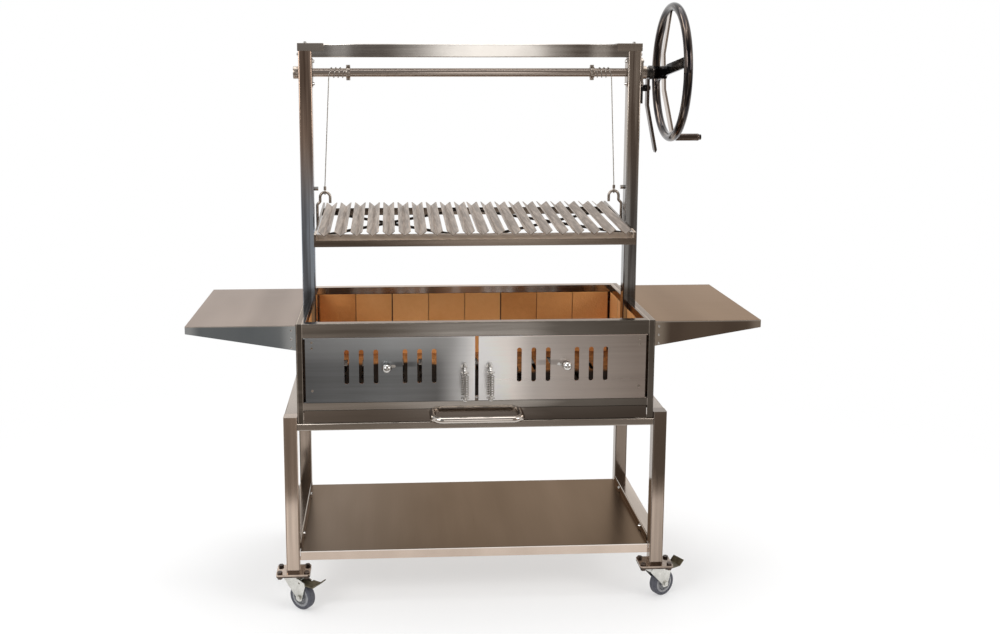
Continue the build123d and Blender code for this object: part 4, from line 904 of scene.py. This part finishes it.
rope_steel = Finish("rope_steel", Metallic=1.0, IOR=2.5)
wires = rope_steel.noise(400.0, 3.0, 0.6)
rope_steel.feed(
    Base_Color=rope_steel.ramp(wires, (0.3, (0.26, 0.23, 0.20)), (0.7, (0.62, 0.58, 0.52))),
    Roughness=wires * 0.2 + 0.22,
)

# %% [markdown]
# Each lift cable leaves the front of the shaft, runs nearly straight down and ends in the ferrule
# on its hook. It hangs taut under the grate's weight, and it pays out as the grate goes down.

# %% Lift cables
rope_radius = 0.0015
rope_lobes = 6
rope_lay = 0.012
turn_radius = 0.0143
top_z = shaft_z - 0.011
ferrule_z = 1.1675
hook_x = 0.424
drop_x = 0.407
for hand, s in (("left", -1), ("right", 1)):
    top = Vector((s * drop_x, middle_y - turn_radius, top_z))
    foot = Vector((s * hook_x, middle_y, ferrule_z))
    route = smooth_route("guide", [top, top.lerp(foot, 0.5), foot])
    rope = wound_tube(
        f"lift_cable_{hand}", even_route(route, 0.0015), rope_radius, rope_lobes, rope_lay
    )
    rope.data.materials.append(rope_steel.material)
    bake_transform(rope)
    if s < 0:
        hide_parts("lift_cables")
    print(rope.name, "length", round((foot - top).length, 4))

# %% [markdown]
# Three turns of the same rope lie on the shaft beside each collar. The start runs out of the
# collar along the shaft, and the last turn leaves down the front. A NURBS curve runs a little
# inside its control points, so these are set out from the helix by a small factor.

# %% Cable turns on the shaft
collar_face = 0.358
lead = 0.003
bend = 0.004
ease_back, ease_up, ease_down = 0.001, 0.003, 0.005
wind_turns = 3
wind_steps = 14
wind_outset = 1.012
wind_start = collar_face + lead + bend
wind_pitch = (drop_x - wind_start - bend) / wind_turns
shaft_front = middle_y - turn_radius
for hand, s in (("left", -1), ("right", 1)):
    points = [
        (s * collar_face, shaft_front, shaft_z + bend),
        (s * (collar_face + lead), shaft_front, shaft_z + bend),
        (s * (wind_start - ease_back), shaft_front, shaft_z + ease_up),
    ]
    for k in range(wind_steps * wind_turns + 1):
        angle = 2 * math.pi * k / wind_steps
        points.append((
            s * (wind_start + wind_pitch * k / wind_steps),
            middle_y - turn_radius * wind_outset * math.cos(angle),
            shaft_z - turn_radius * wind_outset * math.sin(angle),
        ))
    points.append((s * drop_x, shaft_front, shaft_z - ease_down))
    points.append((s * drop_x, shaft_front, top_z))
    route = smooth_route("guide", points)
    turns = wound_tube(
        f"cable_turns_{hand}", even_route(route, 0.0012), rope_radius, rope_lobes, rope_lay, 18
    )
    turns.data.materials.append(rope_steel.material)
    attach(turns, "winch")
    if s < 0:
        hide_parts("cable_windings")
    print(turns.name, "faces", len(turns.data.polygons))

# %% [markdown]
# The pull handles wear a loose coil spring, the usual way to keep fingers off hot metal. Each is
# one round wire on a helix, with its ends turned to run into the collars.

# %% Spring grips
spring_steel = Finish("spring_steel", Metallic=1.0, IOR=2.5)
glint = spring_steel.noise(200.0, 3.0)
spring_steel.feed(
    Base_Color=spring_steel.ramp(glint, (0.3, (0.16, 0.145, 0.13)), (0.7, (0.46, 0.43, 0.40))),
    Roughness=glint * 0.15 + 0.1,
)
coil_turns = 9
coil_steps = 12
coil_outset = 1.01
coil_radius = 0.0095
coil_wire = 0.0013
coil_lead = 2 * coil_wire
coil_bend = 2.2 * coil_wire
pull_x, pull_reach = 0.035, 0.0352
for hand, s in (("left", -1), ("right", 1)):
    low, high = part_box(f"handle_coil_{hand}")
    centre_x = s * pull_x
    centre_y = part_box("front_frame")[0][1] - pull_reach
    start_z = low[2] + coil_lead + coil_bend
    pitch = (high[2] - low[2] - 2 * coil_lead - 2 * coil_bend) / coil_turns
    points = [
        (centre_x - coil_bend, centre_y - coil_radius, low[2]),
        (centre_x - coil_bend, centre_y - coil_radius, low[2] + coil_lead),
    ]
    for k in range(coil_steps * coil_turns + 1):
        angle = 2 * math.pi * k / coil_steps
        points.append((
            centre_x + coil_radius * coil_outset * math.sin(angle),
            centre_y - coil_radius * coil_outset * math.cos(angle),
            start_z + pitch * k / coil_steps,
        ))
    points.append((centre_x + coil_bend, centre_y - coil_radius, high[2] - coil_lead))
    points.append((centre_x + coil_bend, centre_y - coil_radius, high[2]))
    spring = wound_tube(f"spring_grip_{hand}", smooth_route("guide", points), coil_wire, sides=14)
    spring.data.materials.append(spring_steel.material)
    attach(spring, f"door_{hand}")
    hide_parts(f"handle_coil_{hand}")
    print(spring.name, "turns", coil_turns)

# %% [markdown]
# Small fixings: domed screws near the outer edges of the doors, and rivets where the tables meet
# the front. A head is shaped from a short cylinder: its front face is inset, pulled out and
# bevelled. One screw and one rivet are modelled, and copies with their own meshes are moved to
# their places.


# %% Screws and rivets
def dome_head(name, radius, height):
    """A round head on the plane y = 0, with its dome towards the front."""
    bpy.ops.object.select_all(action="DESELECT")
    bpy.ops.mesh.primitive_cylinder_add(
        vertices=20, radius=radius, depth=height,
        location=(0, -height / 2, 0), rotation=(math.pi / 2, 0, 0),
    )
    head = bpy.context.object
    head.name = name
    bpy.ops.object.transform_apply(location=True, rotation=True, scale=True)
    bpy.ops.object.mode_set(mode="EDIT")
    bpy.ops.mesh.select_mode(type="FACE")
    bpy.ops.object.mode_set(mode="OBJECT")
    for face in head.data.polygons:
        face.select = face.normal.y < -0.9
    bpy.ops.object.mode_set(mode="EDIT")
    bpy.ops.mesh.inset(thickness=radius * 0.35)
    bpy.ops.transform.translate(value=(0, -height * 0.5, 0))
    bpy.ops.mesh.bevel(offset=radius * 0.2, segments=2, affect="EDGES")
    bpy.ops.object.mode_set(mode="OBJECT")
    bpy.ops.object.shade_smooth_by_angle(angle=math.radians(50))
    return head


def copy_to(master, name, place, body, turn=Matrix.Identity(4)):
    """A turned copy of master with its own mesh at place, moving with body."""
    piece = master.copy()
    piece.data = master.data.copy()
    piece.name = name
    scene.collection.objects.link(piece)
    piece.data.transform(Matrix.Translation(place) @ turn)
    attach(piece, body)


head_height = 0.0008
screw_x, screw_heights = 0.4525, (0.768, 0.752, 0.632)
rivet_x, rivet_heights = 0.508, (0.800, 0.776, 0.752)
screw = dome_head("screw_master", 0.0034, head_height)
screw.data.materials.append(dull_zinc.material)
rivet = dome_head("rivet_master", 0.0030, head_height)
rivet.data.materials.append(bright_chrome.material)
door_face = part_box("front_frame")[0][1]
table_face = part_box("side_table_left")[0][1]
for hand, s in (("left", -1), ("right", 1)):
    for number, height in enumerate(screw_heights, 1):
        place = (s * screw_x, door_face, height)
        copy_to(screw, f"door_screw_{hand}_{number}", place, f"door_{hand}")
    for number, height in enumerate(rivet_heights, 1):
        place = (s * rivet_x, table_face, height)
        copy_to(rivet, f"table_rivet_{hand}_{number}", place, "stand")
for master in (screw, rivet):
    bpy.data.objects.remove(master)
print("screws:", 2 * len(screw_heights), "rivets:", 2 * len(rivet_heights))

# %% [markdown]
# In each half of the grate two thin rods cross under the bars, from corner to corner, and the gaps
# between the bars show them as short dark marks. One rod is modelled along X. Four copies are
# turned towards their far ends; the second of each pair passes below the first.

# %% Grate braces
brace_radius = 0.0042
brace_gap = 0.0002
brace_inner, brace_outer = 0.012, 0.425
bar_depth = 0.014
front_inset, rear_inset = 0.039, 0.022
(_, bars_front, bars_low), (_, bars_rear, bars_high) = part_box("v_bars_left")
bars_slope = (bars_high - bar_depth - bars_low) / (bars_rear - bars_front)
brace_front, brace_rear = bars_front + front_inset, bars_rear - rear_inset


def under_bars(x, y, drop):
    """A point under the bars, drop below their lower edges."""
    return Vector((x, y, bars_low + (y - bars_front) * bars_slope - drop))


brace_run = under_bars(brace_outer, brace_rear, 0) - under_bars(brace_inner, brace_front, 0)
bpy.ops.object.select_all(action="DESELECT")
bpy.ops.mesh.primitive_cylinder_add(
    vertices=16, radius=brace_radius, depth=brace_run.length, rotation=(0, math.pi / 2, 0)
)
brace = bpy.context.object
bpy.ops.object.transform_apply(location=True, rotation=True, scale=True)
bpy.ops.object.shade_smooth_by_angle(angle=math.radians(50))
dark_rod = Finish(
    "dark_rod", Metallic=1.0, IOR=2.5, Base_Color=rgba(0.055, 0.046, 0.038), Roughness=0.5
)
brace.data.materials.append(dark_rod.material)
for hand, s in (("left", -1), ("right", 1)):
    for level, (near, back) in enumerate(((brace_outer, brace_inner), (brace_inner, brace_outer))):
        drop = brace_radius + brace_gap + level * (2 * brace_radius + brace_gap)
        first = under_bars(s * near, brace_front, drop)
        last = under_bars(s * back, brace_rear, drop)
        turn = Vector((1, 0, 0)).rotation_difference(last - first).to_matrix().to_4x4()
        name = f"grate_brace_{hand}_{level + 1}"
        copy_to(brace, name, (first + last) / 2, "grate", turn)
bpy.data.objects.remove(brace)
print("grate braces:", 4, "length", round(brace_run.length, 4))

# %% [markdown]
# A small ball on the catch shows in the gap between the doors. A sphere, cut flat where it is
# seated on the catch plate, is all it takes.

# %% Catch bead
catch_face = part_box("door_catch")[0][1]
bead_radius = 0.0036
bead_out, bead_z = 0.0028, 0.6025
bpy.ops.object.select_all(action="DESELECT")
bpy.ops.mesh.primitive_uv_sphere_add(
    segments=20, ring_count=12, radius=bead_radius, location=(0, catch_face - bead_out, bead_z)
)
bead = bpy.context.object
bead.name = "catch_bead"
bpy.ops.object.transform_apply(location=True, rotation=True, scale=True)
bpy.ops.object.mode_set(mode="EDIT")
bpy.ops.mesh.select_all(action="SELECT")
bpy.ops.mesh.bisect(
    plane_co=(0, catch_face, 0), plane_no=(0, 1, 0), use_fill=True, clear_outer=True
)
bpy.ops.object.mode_set(mode="OBJECT")
bpy.ops.object.shade_smooth_by_angle(angle=math.radians(50))
bead.data.materials.append(bright_chrome.material)
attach(bead, "stand")
print(bead.name, "faces", len(bead.data.polygons))
